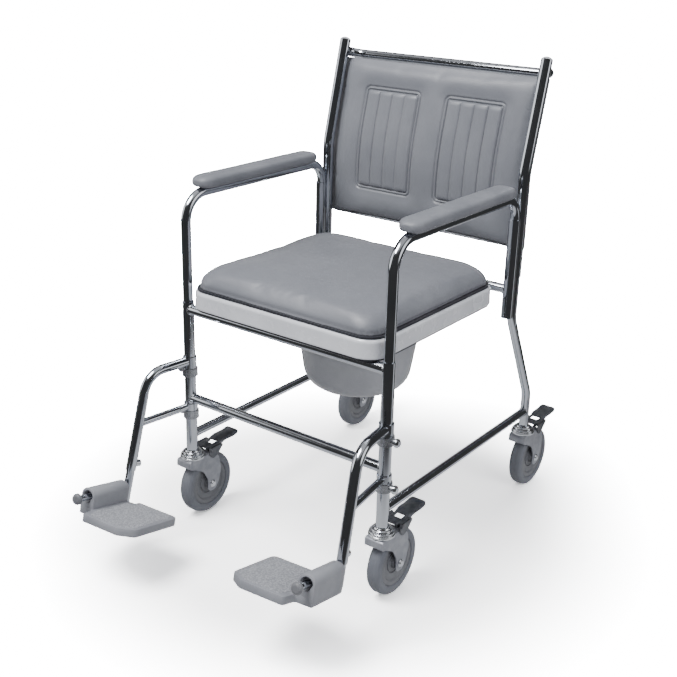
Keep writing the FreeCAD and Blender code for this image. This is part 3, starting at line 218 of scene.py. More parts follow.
def bead_tree():
    """A bead along every edge loop of the carrier, rippled by noise."""
    tree = bpy.data.node_groups.new("weld_bead", "GeometryNodeTree")
    tree_socket(tree, "Loops", "NodeSocketGeometry")
    radius = tree_socket(tree, "Bead radius", "NodeSocketFloat", BEAD_RADIUS)
    ripple = tree_socket(tree, "Ripple", "NodeSocketFloat", RIPPLE_HEIGHT)
    tree.interface.new_socket("Beads", in_out="OUTPUT", socket_type="NodeSocketGeometry")
    given = add_node(tree, "NodeGroupInput")
    path = add_node(tree, "GeometryNodeMeshToCurve")
    section = add_node(tree, "GeometryNodeCurvePrimitiveCircle", {"Resolution": 8})
    bead = add_node(tree, "GeometryNodeCurveToMesh")
    ripples = add_node(tree, "ShaderNodeTexNoise", {"Scale": RIPPLE_SCALE})
    centred = add_node(tree, "ShaderNodeMath", {1: 0.5}, operation="SUBTRACT")
    depth = add_node(tree, "ShaderNodeMath", operation="MULTIPLY")
    normal = add_node(tree, "GeometryNodeInputNormal")
    outward = add_node(tree, "ShaderNodeVectorMath", operation="SCALE")
    shift = add_node(tree, "GeometryNodeSetPosition")
    realize = add_node(tree, "GeometryNodeRealizeInstances")
    paint = add_node(tree, "GeometryNodeSetMaterial", {"Material": weld_metal})
    result = add_node(tree, "NodeGroupOutput")
    link_all(tree, (given.outputs["Loops"], path.inputs["Mesh"]),
             (given.outputs["Bead radius"], section.inputs["Radius"]),
             (path.outputs["Curve"], bead.inputs["Curve"]),
             (section.outputs["Curve"], bead.inputs["Profile Curve"]),
             (ripples.outputs["Fac"], centred.inputs[0]),
             (centred.outputs[0], depth.inputs[0]),
             (given.outputs["Ripple"], depth.inputs[1]),
             (normal.outputs["Normal"], outward.inputs[0]),
             (depth.outputs[0], outward.inputs["Scale"]),
             (bead.outputs["Mesh"], shift.inputs["Geometry"]),
             (outward.outputs["Vector"], shift.inputs["Offset"]),
             (shift.outputs["Geometry"], realize.inputs["Geometry"]),
             (realize.outputs["Geometry"], paint.inputs["Geometry"]),
             (paint.outputs["Geometry"], result.inputs["Beads"]))
    return tree, {radius: BEAD_RADIUS, ripple: RIPPLE_HEIGHT}


def joint_loop(centre, post_radius, bar_radius, along, sign):
    """The closed line where a bar along one axis meets an upright tube."""
    loop = []
    for step in range(BEAD_STEPS):
        angle = step * math.tau / BEAD_STEPS
        aside, up = bar_radius * math.cos(angle), bar_radius * math.sin(angle)
        out = sign * math.sqrt(post_radius ** 2 - min(abs(aside), post_radius * 0.999) ** 2)
        flat = (out, aside) if along == "x" else (aside, out)
        loop.append(Vector((centre[0] + flat[0], centre[1] + flat[1], centre[2] + up)))
    return loop


leg_radius = box_size("front_leg_left")[0] / 2
rear_leg_radius = box_size("rear_leg_left")[0] / 2
leg_x = abs(box_centre("front_leg_left")[0])
leg_y = box_centre("front_leg_left")[1]
rear_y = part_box("rear_leg_left")[1][1] - rear_leg_radius
socket_y = box_centre("arm_socket_left")[1]
loops = []
for side, sign in SIDES:
    for bar, y in (("front_crossbar_upper", leg_y), ("front_crossbar_lower", leg_y),
                   ("rear_crossbar", socket_y)):
        centre = (sign * leg_x, y, box_centre(bar)[2])
        loops.append(joint_loop(centre, leg_radius, box_size(bar)[2] / 2, "x", -sign))
    rail = f"lower_rail_{side}"
    rail_height, rail_radius = box_centre(rail)[2], box_size(rail)[2] / 2
    loops.append(joint_loop((sign * leg_x, leg_y, rail_height), leg_radius, rail_radius, "y", 1))
    loops.append(joint_loop((sign * leg_x, rear_y, rail_height), rear_leg_radius, rail_radius, "y", -1))
bead_path = bpy.data.meshes.new("weld_path")
bead_path.from_pydata([point for loop in loops for point in loop],
                      [(number * BEAD_STEPS + step, number * BEAD_STEPS + (step + 1) % BEAD_STEPS)
                       for number in range(len(loops)) for step in range(BEAD_STEPS)], [])
weld_tree, weld_values = bead_tree()
weld_beads = smooth_mesh(grown_mesh(weld_tree, bead_path, weld_values), 80.0)
fit_piece("weld_beads", weld_beads, [weld_metal], "frame", "chrome_tube")

# ---------------------------------------- post caps
# Domed light grey plastic caps pushed into the open tops of the back posts.
cap_grey = mottled_finish("cap_grey", (0.3, 0.31, 0.33), (0.36, 0.37, 0.39), (0.35, 0.45))
paint_nodes(cap_grey, "post_caps")

# ---------------------------------------- castors
# Five inch swivel castors: a stepped chromed swivel cup under the leg, a pressed zinc fork, a grey
# rubber tyre on a plastic hub, a bolt through both cheeks and a pressed brake pedal behind.


def rounded(corners, steps=5, closed=True):
    """A flat outline with its corners turned into arcs; each corner is (a, b, radius)."""
    points = []
    count = len(corners)
    for index, (a, b, radius) in enumerate(corners):
        here = Vector((a, b))
        if radius <= 0 or (not closed and index in (0, count - 1)):
            points.append(here)
            continue
        before = Vector(corners[index - 1][:2]) - here
        after = Vector(corners[(index + 1) % count][:2]) - here
        half_turn = (math.pi - before.angle(after)) / 2
        setback = min(radius * math.tan(half_turn), before.length * 0.49, after.length * 0.49)
        start, end = here + before.normalized() * setback, here + after.normalized() * setback
        weight = math.cos(half_turn)
        for step in range(steps + 1):
            t = step / steps
            shares = ((1 - t) ** 2, 2 * weight * t * (1 - t), t * t)
            points.append((start * shares[0] + here * shares[1] + end * shares[2]) / sum(shares))
    return points


def add_loft(bm, rings, loop=False, caps=True, finish=0):
    """Skin a row of closed rings of points; a ring of one point is a pole."""
    rows = [[bm.verts.new(point) for point in ring] for ring in rings]
    pairs = list(zip(rows, rows[1:])) + ([(rows[-1], rows[0])] if loop else [])
    faces = []
    for low, high in pairs:
        for index in range(max(len(low), len(high))):
            after = index + 1
            corners = [low[index % len(low)], low[after % len(low)],
                       high[after % len(high)], high[index % len(high)]]
            unique = [vert for number, vert in enumerate(corners) if vert not in corners[:number]]
            if len(unique) > 2:
                faces.append(bm.faces.new(unique))
    if caps and not loop:
        for row in (rows[0], rows[-1]):
            if len(row) > 2:
                faces.append(bm.faces.new(row))
    for face in faces:
        face.material_index = finish
    return faces


def add_turned(bm, profile, place, segments=72, loop=False, finish=0):
    """A shape turned about its own Z; the profile is (radius, height) pairs."""
    rings = []
    for radius, height in profile:
        if radius < 1e-7:
            rings.append([place @ Vector((0, 0, height))])
            continue
        rings.append([place @ Vector((radius * math.cos(turn), radius * math.sin(turn), height))
                      for turn in (index * math.tau / segments for index in range(segments))])
    return add_loft(bm, rings, loop=loop, caps=False, finish=finish)


def as_mesh(bm, sharp=38.0):
    """Turn a finished bmesh into a smooth mesh with its faces outward."""
    bmesh.ops.recalc_face_normals(bm, faces=bm.faces)
    mesh = bpy.data.meshes.new("piece")
    bm.to_mesh(mesh)
    bm.free()
    return smooth_mesh(mesh, sharp)


def millimetres(points):
    """A profile given in millimetres, in metres."""
    return [tuple(value * MM for value in point) for point in points]


def hexagon(radius, height, place):
    """A ring of six corners at a height, for nuts and bolt heads."""
    turns = [math.tau * (k + 0.5) / 6 for k in range(6)]
    return [place @ Vector((radius * math.cos(turn), radius * math.sin(turn), height)) for turn in turns]


cup_chrome = mottled_finish("cup_chrome", (0.62, 0.64, 0.68), (0.74, 0.76, 0.79), (0.14, 0.24), metallic=1.0)
fork_zinc = mottled_finish("fork_zinc", (0.22, 0.23, 0.26), (0.29, 0.3, 0.33), (0.34, 0.46), metallic=0.5,
                           mottle=60.0)
# The forks' inner faces are painted shade: a near-black finish for the shade inside each fork, where the real
# metal is the same zinc as outside.
fork_inside = mottled_finish("fork_inside", (0.012, 0.013, 0.017), (0.024, 0.025, 0.031), (0.5, 0.7),
                             mottle=60.0)
pedal_steel = mottled_finish("pedal_steel", (0.09, 0.095, 0.11), (0.15, 0.155, 0.17), (0.28, 0.42),
                             metallic=0.8, mottle=90.0)
tyre_rubber = mottled_finish("tyre_rubber", (0.1, 0.107, 0.127), (0.125, 0.132, 0.152), (0.5, 0.65),
                             grain=500.0)
hub_plastic = mottled_finish("hub_plastic", (0.1, 0.104, 0.116), (0.125, 0.129, 0.14), (0.38, 0.5))

# Profiles and outlines are rows of two distances in millimetres, with the rounding of that corner as a
# third value where there is one; see rounded().
CUP_PROFILE = ((0, 133.4, 0), (24, 133.4, 0.8), (24, 137.2, 1.4), (22, 138, 0.5), (22, 138.8, 0.5),
               (22.8, 139.4, 0.8), (22.2, 141.9, 1.2), (18.2, 142.5, 0.6), (18.2, 143.2, 0.5),
               (19, 143.9, 0.8),
               (18.2, 146.6, 1.3), (14.8, 147.4, 0.6), (13.6, 150, 0.4), (0, 150, 0))
FORK_OUTLINE = ((-24.5, 132.6, 5), (-24.5, 116, 5), (-13, 113, 12), (12, 99, 30), (24, 76, 22),
                (23.5, 53, 10), (30, 48.5, 8), (44, 48.5, 10), (54, 62, 20), (62, 88, 26), (56, 118, 20),
                (40, 132.6, 12))
CROWN_FRONT_FOOT, CROWN_REAR_FOOT = (-13, 113), (61, 96)
FORK_HALF_WIDTH = 18.6
FORK_SHEET = 2.6
FORK_EDGE = 6.0
FORK_CORNER_STEPS = 6
BOLT_HEAD = ((0, 18.6, 0), (7.5, 18.6, 0.3), (7.5, 20.2, 0.7), (6, 21, 0.6), (5.6, 22.8, 1.5), (0, 24, 0))
BOLT_SHANK = ((0, -20), (4, -20), (4, 20), (0, 20))
BOLT_WASHER = ((0, -18.6), (7.4, -18.6), (7.4, -19.6), (0, -19.6))
BOLT_NUT = ((6.9, -19.5), (6.9, -22.9), (6.2, -23.6))


def fork_mesh(x, y):
    """Two cheeks and the crown between them, pressed from one sheet with rounded edges."""
    outline = rounded(FORK_OUTLINE, FORK_CORNER_STEPS)
    count = len(outline)
    front_foot = min(range(count), key=lambda k: (outline[k] - Vector(CROWN_FRONT_FOOT)).length)
    rear_foot = min(range(count), key=lambda k: (outline[k] - Vector(CROWN_REAR_FOOT)).length)
    bm = bmesh.new()
    left, right = ([bm.verts.new((half * MM, point.x * MM, point.y * MM)) for point in outline]
                   for half in (-FORK_HALF_WIDTH, FORK_HALF_WIDTH))
    bm.faces.new(left[::-1])
    bm.faces.new(right)
    spine = []
    for index in range(count):
        following = (index + 1) % count
        if index < front_foot or index >= rear_foot:
            bm.faces.new((left[index], left[following], right[following], right[index]))
            spine += [(left[index], left[following]), (right[index], right[following])]
    bmesh.ops.recalc_face_normals(bm, faces=bm.faces)
    edges = [bm.edges.get(pair) for pair in spine]
    bmesh.ops.bevel(bm, geom=edges, offset=FORK_EDGE * MM, segments=5, profile=0.5, affect="EDGES",
                    clamp_overlap=True)
    bmesh.ops.translate(bm, verts=bm.verts, vec=(x, y, 0))
    mesh = bpy.data.meshes.new("fork")
    bm.to_mesh(mesh)
    bm.free()
    return mesh


def thickened(mesh, thickness, outside, inside, sharp=35.0):
    """Give a pressed sheet its thickness, inwards, with a finish for each face of it."""
    mesh.materials.append(outside)
    mesh.materials.append(inside)
    holder = holder_of(mesh, "sheet")
    wall = holder.modifiers.new("wall", "SOLIDIFY")
    wall.thickness = thickness
    wall.offset = -1.0
    wall.use_even_offset = True
    wall.material_offset = 1
    return smooth_mesh(settled_mesh(holder), sharp)


# Rows along the pedal: (distance behind the swivel, half width, height of the top, depth of the flange).
PEDAL_ROWS = ((27, 12, 144.5, 7), (31, 14.5, 145.5, 9), (44, 15, 145.8, 9.5), (47, 15, 145.8, 9.5),
              (62, 15.2, 146, 9), (66, 15.6, 146.5, 7.5), (72, 16.5, 147.8, 4.5), (80, 17.6, 148.4, 3),
              (96, 18, 147.6, 2.5), (106, 18, 148.2, 2.5), (113, 17.5, 150, 2.5), (117, 15, 151.3, 2.2),
              (118, 12, 151.5, 2))
# Ears hang from the lever on both sides of the fork, joined to it by short webs, and carry its rivet.
PEDAL_EAR = ((27, 145.6, 3), (62, 145.9, 3), (66, 141, 4), (50, 125, 7), (36, 120, 6), (27, 132, 4))
PEDAL_WEB = ((31, 145.6), (58, 145.9), (58, 143.9), (31, 143.6))
PEDAL_WEB_INSIDE = 14.0
PEDAL_RIVET = ((0, 0), (4.2, 0), (3.6, 1.6), (0, 1.6))
PEDAL_LIP = 1.2
PEDAL_EAR_INSIDE = 19.4
PEDAL_PIVOT = (34, 138)
PEDAL_WINDOW_ROWS = (3, 4)
PEDAL_WINDOW = 8.5
PEDAL_SHEET = 2.0


def pedal_mesh(x, y):
    """A pressed lever: a channel over the fork that widens into an upturned tread, with a window."""
    rings = []
    lip, window = PEDAL_LIP, PEDAL_WINDOW
    for back, half, top, flange in PEDAL_ROWS:
        t = PEDAL_SHEET
        section = ((-half, top - flange), (-half, top - lip), (-half + lip, top), (-window, top),
                   (window, top), (half - lip, top), (half, top - lip), (half, top - flange),
                   (half - t, top - flange), (half - t, top - t), (window, top - t), (-window, top - t),
                   (t - half, top - t), (t - half, top - flange))
        rings.append([Vector((x + across * MM, y + back * MM, up * MM)) for across, up in section])
    bm = bmesh.new()
    add_loft(bm, rings)
    bm.verts.ensure_lookup_table()
    bm.faces.ensure_lookup_table()
    width = len(rings[0])
    near, far = PEDAL_WINDOW_ROWS
    doomed = []
    rims = []
    for first in (3, 10):
        corners = [bm.verts[near * width + first], bm.verts[near * width + first + 1],
                   bm.verts[far * width + first + 1], bm.verts[far * width + first]]
        rims.append(corners)
        doomed += [face for face in bm.faces if set(face.verts) == set(corners)]
    bmesh.ops.delete(bm, geom=doomed, context="FACES_ONLY")
    top, bottom = rims
    bottom = [bottom[1], bottom[0], bottom[3], bottom[2]]
    for k in range(4):
        bm.faces.new((top[k], top[(k + 1) % 4], bottom[(k + 1) % 4], bottom[k]))
    for sign in (-1, 1):
        near_x, far_x = sign * PEDAL_EAR_INSIDE, sign * (PEDAL_EAR_INSIDE + PEDAL_SHEET)
        add_loft(bm, [[Vector((x + across * MM, y + point.x * MM, point.y * MM))
                       for point in rounded(PEDAL_EAR, 4)] for across in (near_x, far_x)])
        add_turned(bm, millimetres(PEDAL_RIVET),
                   Matrix.Translation((x + far_x * MM, y + PEDAL_PIVOT[0] * MM, PEDAL_PIVOT[1] * MM))
                   @ Matrix.Rotation(math.radians(90) * sign, 4, "Y"), 24)
    for sign in (-1, 1):
        inner, outer = sign * PEDAL_WEB_INSIDE, sign * (PEDAL_EAR_INSIDE + PEDAL_SHEET)
        add_loft(bm, [[Vector((x + across * MM, y + back * MM, up * MM)) for back, up in PEDAL_WEB]
                      for across in (inner, outer)])
    return as_mesh(bm, 50.0)


TYRE_PROFILE = ((46, -10.8, 0), (47, -12.6, 1.5), (56, -13.8, 5), (61.2, -11.2, 4), (63.4, -6, 5),
                (63.4, 6, 5), (61.2, 11.2, 4), (56, 13.8, 5), (47, 12.6, 1.5), (46, 10.8, 0))
HUB_FACE = ((4.1, -15.4, 0), (9, -15.4, 0.6), (9, -13.6, 0.5), (12.8, -13.2, 1), (13.4, -7, 1.5),
            (20.6, -6.6, 0.5), (21.2, -4.4, 0.4), (23, -4.4, 0.4), (23.6, -6.8, 0.6), (35, -7.4, 2),
            (38.5, -10.6, 1.5), (45.9, -11, 0.8))
HUB_PROFILE = HUB_FACE + tuple((radius, -height, rounding)
                               for radius, height, rounding in reversed(HUB_FACE))
cups = bmesh.new()
for corner in CORNERS:
    x, y, _ = joints[f"swivel_{corner}"]["pos_m"]
    add_turned(cups, millimetres(rounded(CUP_PROFILE, 4, closed=False)), Matrix.Translation((x, y, 0)), 64)
    fork = thickened(fork_mesh(x, y), FORK_SHEET * MM, fork_zinc, fork_inside)
    fit_piece(f"fork_{corner}", fork, [fork_zinc, fork_inside], f"castor_{corner}", "fork_steel",
              f"castor_fork_{corner}")
    axle_x, axle_y, axle_z = box_centre(f"castor_axle_{corner}")
    across = Matrix.Translation((axle_x, axle_y, axle_z)) @ Matrix.Rotation(math.radians(90), 4, "Y")
    bolt = bmesh.new()
    add_turned(bolt, millimetres(BOLT_SHANK), across, 32)
    add_turned(bolt, millimetres(rounded(BOLT_HEAD, 4, closed=False)), across, 40)
    add_turned(bolt, millimetres(BOLT_WASHER), across, 40)
    add_loft(bolt, [hexagon(radius * MM, height * MM, across) for radius, height in BOLT_NUT])
    fit_piece(f"axle_bolt_{corner}", as_mesh(bolt, 30.0), [cup_chrome], f"castor_{corner}", "axle_steel",
              f"castor_axle_{corner}")
    wheel = bmesh.new()
    add_turned(wheel, millimetres(rounded(TYRE_PROFILE, 5)), across, 96, loop=True)
    fit_piece(f"tyre_{corner}", as_mesh(wheel, 60.0), [tyre_rubber], f"wheel_{corner}", "tyre_rubber",
              f"castor_tyre_{corner}")
    hub = bmesh.new()
    add_turned(hub, millimetres(rounded(HUB_PROFILE, 3)), across, 80, loop=True)
    fit_piece(f"hub_{corner}", as_mesh(hub, 30.0), [hub_plastic], f"wheel_{corner}", "hub_plastic",
              f"castor_hub_{corner}")
    fit_piece(f"pedal_{corner}", pedal_mesh(x, y), [pedal_steel], f"pedal_{corner}", "pedal_steel",
              f"brake_pedal_{corner}")
fit_piece("swivel_cups", as_mesh(cups, 40.0), [cup_chrome], "frame", "chrome_fitting", "castor_cups")

# ---------------------------------------- seat and its plate
# A white moulded toilet seat with a deep skirt and a rolled top edge, screwed to a steel plate
# that lies on the crossbars.  The oval opening has a short lip turned down.
# The plate and the cushion's board are near-black. This is partly their own dark colour and partly painted
# shade: the thin dark line of shade under the seat's skirt and along the cushion's lower edge.
plate_black = mottled_finish("plate_black", (0.016, 0.017, 0.022), (0.028, 0.029, 0.036), (0.35, 0.5))
paint_nodes(plate_black, "seat_frame", "cushion_board")
seat_white = mottled_finish("seat_white", (0.46, 0.47, 0.5), (0.51, 0.52, 0.55), (0.2, 0.3), coat=0.3)
SEAT_CORNER = 42.0
SEAT_TOP_ROUND = 7.0
SEAT_WALL_DEPTH = 13.0
OVAL_HALF_WIDTH, OVAL_HALF_LENGTH, OVAL_CORNER = 100, 115, 95
RING_POINTS = 22
seat_low, seat_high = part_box("seat")
seat_x, seat_y, _ = box_centre("seat")
seat_half = (box_size("seat")[0] / 2 / MM, box_size("seat")[1] / 2 / MM)
pan_x, pan_y, _ = box_centre("pan")


def slab_ring(inset, height, corner=SEAT_CORNER, half=seat_half, centre=(seat_x, seat_y)):
    """A rounded oblong, drawn in by an inset, as a ring of points; by default the seat's outline."""
    radius = max(corner - inset, 2.0)
    ring = []
    for quarter, (sx, sy) in enumerate(((1, 1), (-1, 1), (-1, -1), (1, -1))):
        for step in range(RING_POINTS):
            turn = math.radians(90) * (quarter + step / (RING_POINTS - 1))
            across = sx * (half[0] - inset - radius) + radius * math.cos(turn)
            along = sy * (half[1] - inset - radius) + radius * math.sin(turn)
            ring.append(Vector((centre[0] + across * MM, centre[1] + along * MM, height * MM)))
    return ring


def oval_ring(grow, height):
    """The seat's opening over the pan, grown by a distance."""
    half = (OVAL_HALF_WIDTH + grow, OVAL_HALF_LENGTH + grow)
    return slab_ring(0, height, OVAL_CORNER + grow, half, (pan_x, pan_y))


base, crown = seat_low[2] / MM, seat_high[2] / MM
seat = bmesh.new()
section = [(4, base), (3.2, base), (0.6, base + 0.2), (0, base + 1.2), (0.2, base + 3), (1.0, crown - 9)]
section += [(1.0 + SEAT_TOP_ROUND * (1 - math.cos(math.radians(turn))),
             crown + SEAT_TOP_ROUND * (math.sin(math.radians(turn)) - 1)) for turn in range(0, 91, 15)]
rings = [slab_ring(inset, height) for inset, height in section]
OPENING_WALL = ((4, 0), (1.4, 0.7), (0.3, 2.4), (0, SEAT_WALL_DEPTH), (3, SEAT_WALL_DEPTH), (3, 5))
rings += [oval_ring(grow, crown - down) for grow, down in OPENING_WALL]
rings += [slab_ring(9, crown - 5), slab_ring(5.5, crown - 7), slab_ring(4.2, crown - 11)]
add_loft(seat, rings, loop=True)
fit_piece("toilet_seat", as_mesh(seat, 40.0), [seat_white], "frame", "seat_plastic", "seat")

# ---------------------------------------- seat cushion
# A foam cushion in grey vinyl, stapled under a thin board (near-black, partly as painted shade): low at the
# edges, crowned in the middle and drawn tight over rounded corners.


def vinyl_finish(name, dark, light):
    """Grained vinyl: small raised cells over a soft mottle."""
    material, tree, shader, place = new_material(name)
    tree.links.new(ramp_between(tree, noise_field(tree, place, 7.0), dark, light),
                   shader.inputs["Base Color"])
    tree.links.new(ramp_between(tree, noise_field(tree, place, 40.0), 0.38, 0.5), shader.inputs["Roughness"])
    cells = add_node(tree, "ShaderNodeTexVoronoi", {"Scale": 650.0})
    tree.links.new(place, cells.inputs["Vector"])
    creases = add_bump(tree, shader, noise_field(tree, place, 26.0, 3.0), 0.25, 0.0005)
    add_bump(tree, shader, cells.outputs["Distance"], 0.3, 0.00012, creases)
    shader.inputs["Sheen Weight"].default_value = 0.08
    return material


vinyl = vinyl_finish("grey_vinyl", (0.116, 0.122, 0.14), (0.136, 0.142, 0.16))
VOXEL = 5.0 * MM
CLOTH_FRAMES = 20
CLOTH_PRESSURE = 4.0


def puffed(mesh, cap, allowed):
    """Swell a closed mesh as cloth under pressure, and cap how far each point may move.

    The allowed function takes where a point was and where it went, and says where it may be."""
    start = holder_of(mesh, "puff_start")
    remesh = start.modifiers.new("remesh", "REMESH")
    remesh.mode = "VOXEL"
    remesh.voxel_size = VOXEL
    even = settled_mesh(start)
    cloth_piece = holder_of(even, "puff")
    before = [vert.co.copy() for vert in even.vertices]
    cloth = cloth_piece.modifiers.new("cloth", "CLOTH")
    cloth.settings.use_pressure = True
    cloth.settings.uniform_pressure_force = CLOTH_PRESSURE
    cloth.settings.effector_weights.gravity = 0.0
    cloth.settings.quality = 5
    cloth.point_cache.frame_start = 1
    cloth.point_cache.frame_end = CLOTH_FRAMES
    for number in range(1, CLOTH_FRAMES + 1):
        bpy.context.scene.frame_set(number)
    settled = cloth_piece.evaluated_get(bpy.context.evaluated_depsgraph_get())
    swollen = bpy.data.meshes.new_from_object(settled)
    for vert, origin, moved in zip(even.vertices, before, swollen.vertices):
        step = moved.co - origin
        if step.length > cap:
            step *= cap / step.length
        vert.co = allowed(origin, origin + step)
    bpy.context.scene.frame_set(1)
    bpy.data.objects.remove(cloth_piece)
    return even


def subdivided(mesh, levels=1):
    """A mesh made finer and rounder by subdivision."""
    holder = holder_of(mesh, "subdivided")
    finer = holder.modifiers.new("finer", "SUBSURF")
    finer.levels = levels
    finer.render_levels = levels
    return settled_mesh(holder)


cushion_low, cushion_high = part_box("seat_cushion")
cushion_base = cushion_low[2] / MM
cushion_rise = (cushion_high[2] - cushion_low[2]) / MM
EDGE_RISE = 25.0
EDGE_ROLL = 34.0
EDGE_INSET = 2.4
EDGE_STEPS, CROWN_STEPS = 6, 14
EDGE_SLOPE = 0.06
CORNER_GROWTH = 30.0
CORNER_GROWTH_CROWN = 40.0
TOP_CLEARANCE = 3.0
LIFT = 2.0
CREASE_DEPTH = 0.9


def crown_height(inset_share, roll):
    """Height of the cushion: an edge roll, then a slow crown towards the middle."""
    crown_rise = cushion_rise - TOP_CLEARANCE - EDGE_RISE
    return EDGE_RISE * roll + crown_rise * math.sin(inset_share * math.pi / 2) ** 0.8


cushion = bmesh.new()
rings = [slab_ring(9, cushion_base), slab_ring(3.4, cushion_base + 0.2),
         slab_ring(EDGE_INSET, cushion_base + LIFT)]
for step in range(1, EDGE_STEPS + 1):
    turn = math.radians(90) * step / EDGE_STEPS
    inset = EDGE_INSET + EDGE_ROLL * (1 - math.cos(turn))
    height = cushion_base + LIFT + crown_height(0.0, math.sin(turn)) + inset * EDGE_SLOPE
    rings.append(slab_ring(inset, height, corner=SEAT_CORNER + CORNER_GROWTH * step / EDGE_STEPS))
crown_start = EDGE_INSET + EDGE_ROLL
crown_end = min(seat_half) - 6
for step in range(1, CROWN_STEPS + 1):
    share = step / CROWN_STEPS
    inset = crown_start + (crown_end - crown_start) * share
    height = cushion_base + LIFT + crown_start * EDGE_SLOPE + crown_height(share * 0.98, 1.0)
    rings.append(slab_ring(inset, height, corner=SEAT_CORNER + CORNER_GROWTH + CORNER_GROWTH_CROWN * share))
add_loft(cushion, rings)
cushion_shape = as_mesh(cushion, 180.0)


def on_board(origin, moved):
    """The underside stays on its board and the cover stays inside the cushion's box."""
    moved.z = min(max(moved.z, cushion_base * MM), cushion_high[2] + 4 * MM)
    if origin.z < (cushion_base + 1.5) * MM:
        return origin
    for axis in range(2):
        moved[axis] = min(max(moved[axis], cushion_low[axis] + 0.5 * MM), cushion_high[axis] - 0.5 * MM)
    return moved


cushion_mesh = subdivided(puffed(cushion_shape, 7.0 * MM, on_board))
for vert in cushion_mesh.vertices:
    height_share = (vert.co.z / MM - cushion_base) / cushion_rise
    crease = noise.noise(Vector((vert.co.x * 9, vert.co.y * 16, 3.7))) + 0.5 * noise.noise(vert.co * 34)
    vert.co.z += CREASE_DEPTH * MM * crease * max(0.0, min(1.0, height_share * 2 - 0.4))
cushion_piece = fit_piece("cushion_cover", smooth_mesh(cushion_mesh, 60.0), [vinyl], "cushion", "upholstery",
                          "seat_cushion")

# ---------------------------------------- pan
# A grey moulded pan with a flat rim, a slight shoulder and a widely rounded floor.  It hangs by its
# rim from two runners under the seat plate.
pan_plastic = mottled_finish("pan_plastic", (0.25, 0.257, 0.28), (0.28, 0.287, 0.31), (0.28, 0.38))
pan_low, pan_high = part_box("pan")
rim = (pan_high[0] - pan_low[0]) / 2 / MM
top, floor_z = pan_high[2] / MM, pan_low[2] / MM
pan_section = ((0, floor_z, 0), (100, floor_z, 42), (117.5, top - 62, 10), (119.5, top - 54, 6),
               (123, top - 4, 1.5), (rim, top - 3, 1.0), (rim, top, 1.2), (121, top, 1.5),
               (116.5, top - 55, 8), (114.5, top - 62, 8), (97, floor_z + 3, 39), (0, floor_z + 3, 0))
pan = bmesh.new()
pan_place = Matrix.Translation((pan_x, pan_y, 0))
add_turned(pan, millimetres(rounded(pan_section, 9, closed=False)), pan_place, 112)
fit_piece("pan_bowl", as_mesh(pan, 40.0), [pan_plastic], "pan", "pan_plastic", "pan")

# ---------------------------------------- backrest
# A foam pad in the same vinyl on a stiff back board, screwed to the posts from behind.  Two panels
# are pressed into its front, each with a double welt round four padded ribs.
POST_BEND, POST_RADIUS, RECLINE = 700.0, 120.0, math.radians(14.0)
pad_low, pad_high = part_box("back_pad")
post_radius = box_size("arm_socket_left")[0] / 2 / MM
post_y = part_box("back_post_left")[0][1] / MM + post_radius
pad_half = (pad_high[0] - pad_low[0]) / 2 / MM
pad_foot = pad_low[2] / MM
bend_start = POST_BEND - POST_RADIUS * math.tan(RECLINE / 2)
straight = bend_start - pad_foot
bend_length = POST_RADIUS * RECLINE
PAD_THICKNESS = 14.0
pad_rear = post_radius + PAD_THICKNESS
pad_length = straight + bend_length + (pad_high[2] / MM + post_radius * math.sin(RECLINE) - bend_start
                                       - POST_RADIUS * math.sin(RECLINE)) / math.cos(RECLINE)


def pad_point(across, along, behind):
    """A point of the pad: across, up along the posts from its lower edge, and behind their axis."""
    lean = min(max((along - straight) / POST_RADIUS, 0.0), RECLINE)
    depth = POST_RADIUS - behind
    y = post_y + POST_RADIUS - depth * math.cos(lean)
    z = min(along, straight) + pad_foot + depth * math.sin(lean)
    rest = max(along - straight - bend_length, 0.0)
    return Vector((across, y + rest * math.sin(lean), z + rest * math.cos(lean))) * MM


def rearward(along):
    """The direction straight back through the pad at a distance up it."""
    lean = min(max((along - straight) / POST_RADIUS, 0.0), RECLINE)
    return Vector((0, math.cos(lean), -math.sin(lean)))


pad = bmesh.new()
ROWS, COLUMNS = 26, 30
EDGE_FADE, SIDE_FADE = 30.0, 46.0
FRONT_GAP, SIDE_DROP, SWELL = 1.0, 4.0, 3.5
rings = []
for row in range(ROWS + 1):
    along = pad_length * row / ROWS
    pinch = min(along, pad_length - along) / EDGE_FADE
    swell = math.sin(min(pinch, 1.0) * math.pi / 2)
    ring = []
    for column in range(COLUMNS + 1):
        across = -pad_half + 2 * pad_half * column / COLUMNS
        middle = math.sin(min((pad_half - abs(across)) / SIDE_FADE, 1.0) * math.pi / 2)
        behind = post_radius + FRONT_GAP + SIDE_DROP * (1 - middle) - SWELL * swell * middle
        ring.append(pad_point(across, along, behind))
    for column in range(COLUMNS + 1):
        across = pad_half - 2 * pad_half * column / COLUMNS
        ring.append(pad_point(across, along, pad_rear - 0.5))
    rings.append(ring)
add_loft(pad, rings)
pad_shape = as_mesh(pad, 180.0)


def on_back_board(origin, moved):
    """The board at the rear keeps its place, and the sides stay behind the posts."""
    if abs(origin.x) > (pad_half - 18) * MM:
        return origin
    step = moved - origin
    return origin if step.y > 0 else moved


pad_surface = bmesh.new()
pad_surface.from_mesh(puffed(pad_shape, 6.0 * MM, on_back_board))
pad_hits = BVHTree.FromBMesh(pad_surface)

PANEL_INNER, PANEL_OUTER, PANEL_LOW, PANEL_HIGH = 28.0, 161.0, 62.0, 272.0
PANEL_CORNER = 11.0
RIBS = 4
WELT = 6.5
RIB_WIDTH = (PANEL_OUTER - PANEL_INNER - 2 * WELT) / RIBS
RIB_RISE = 4.2
RIB_END = 11.0
HEM = 5.0


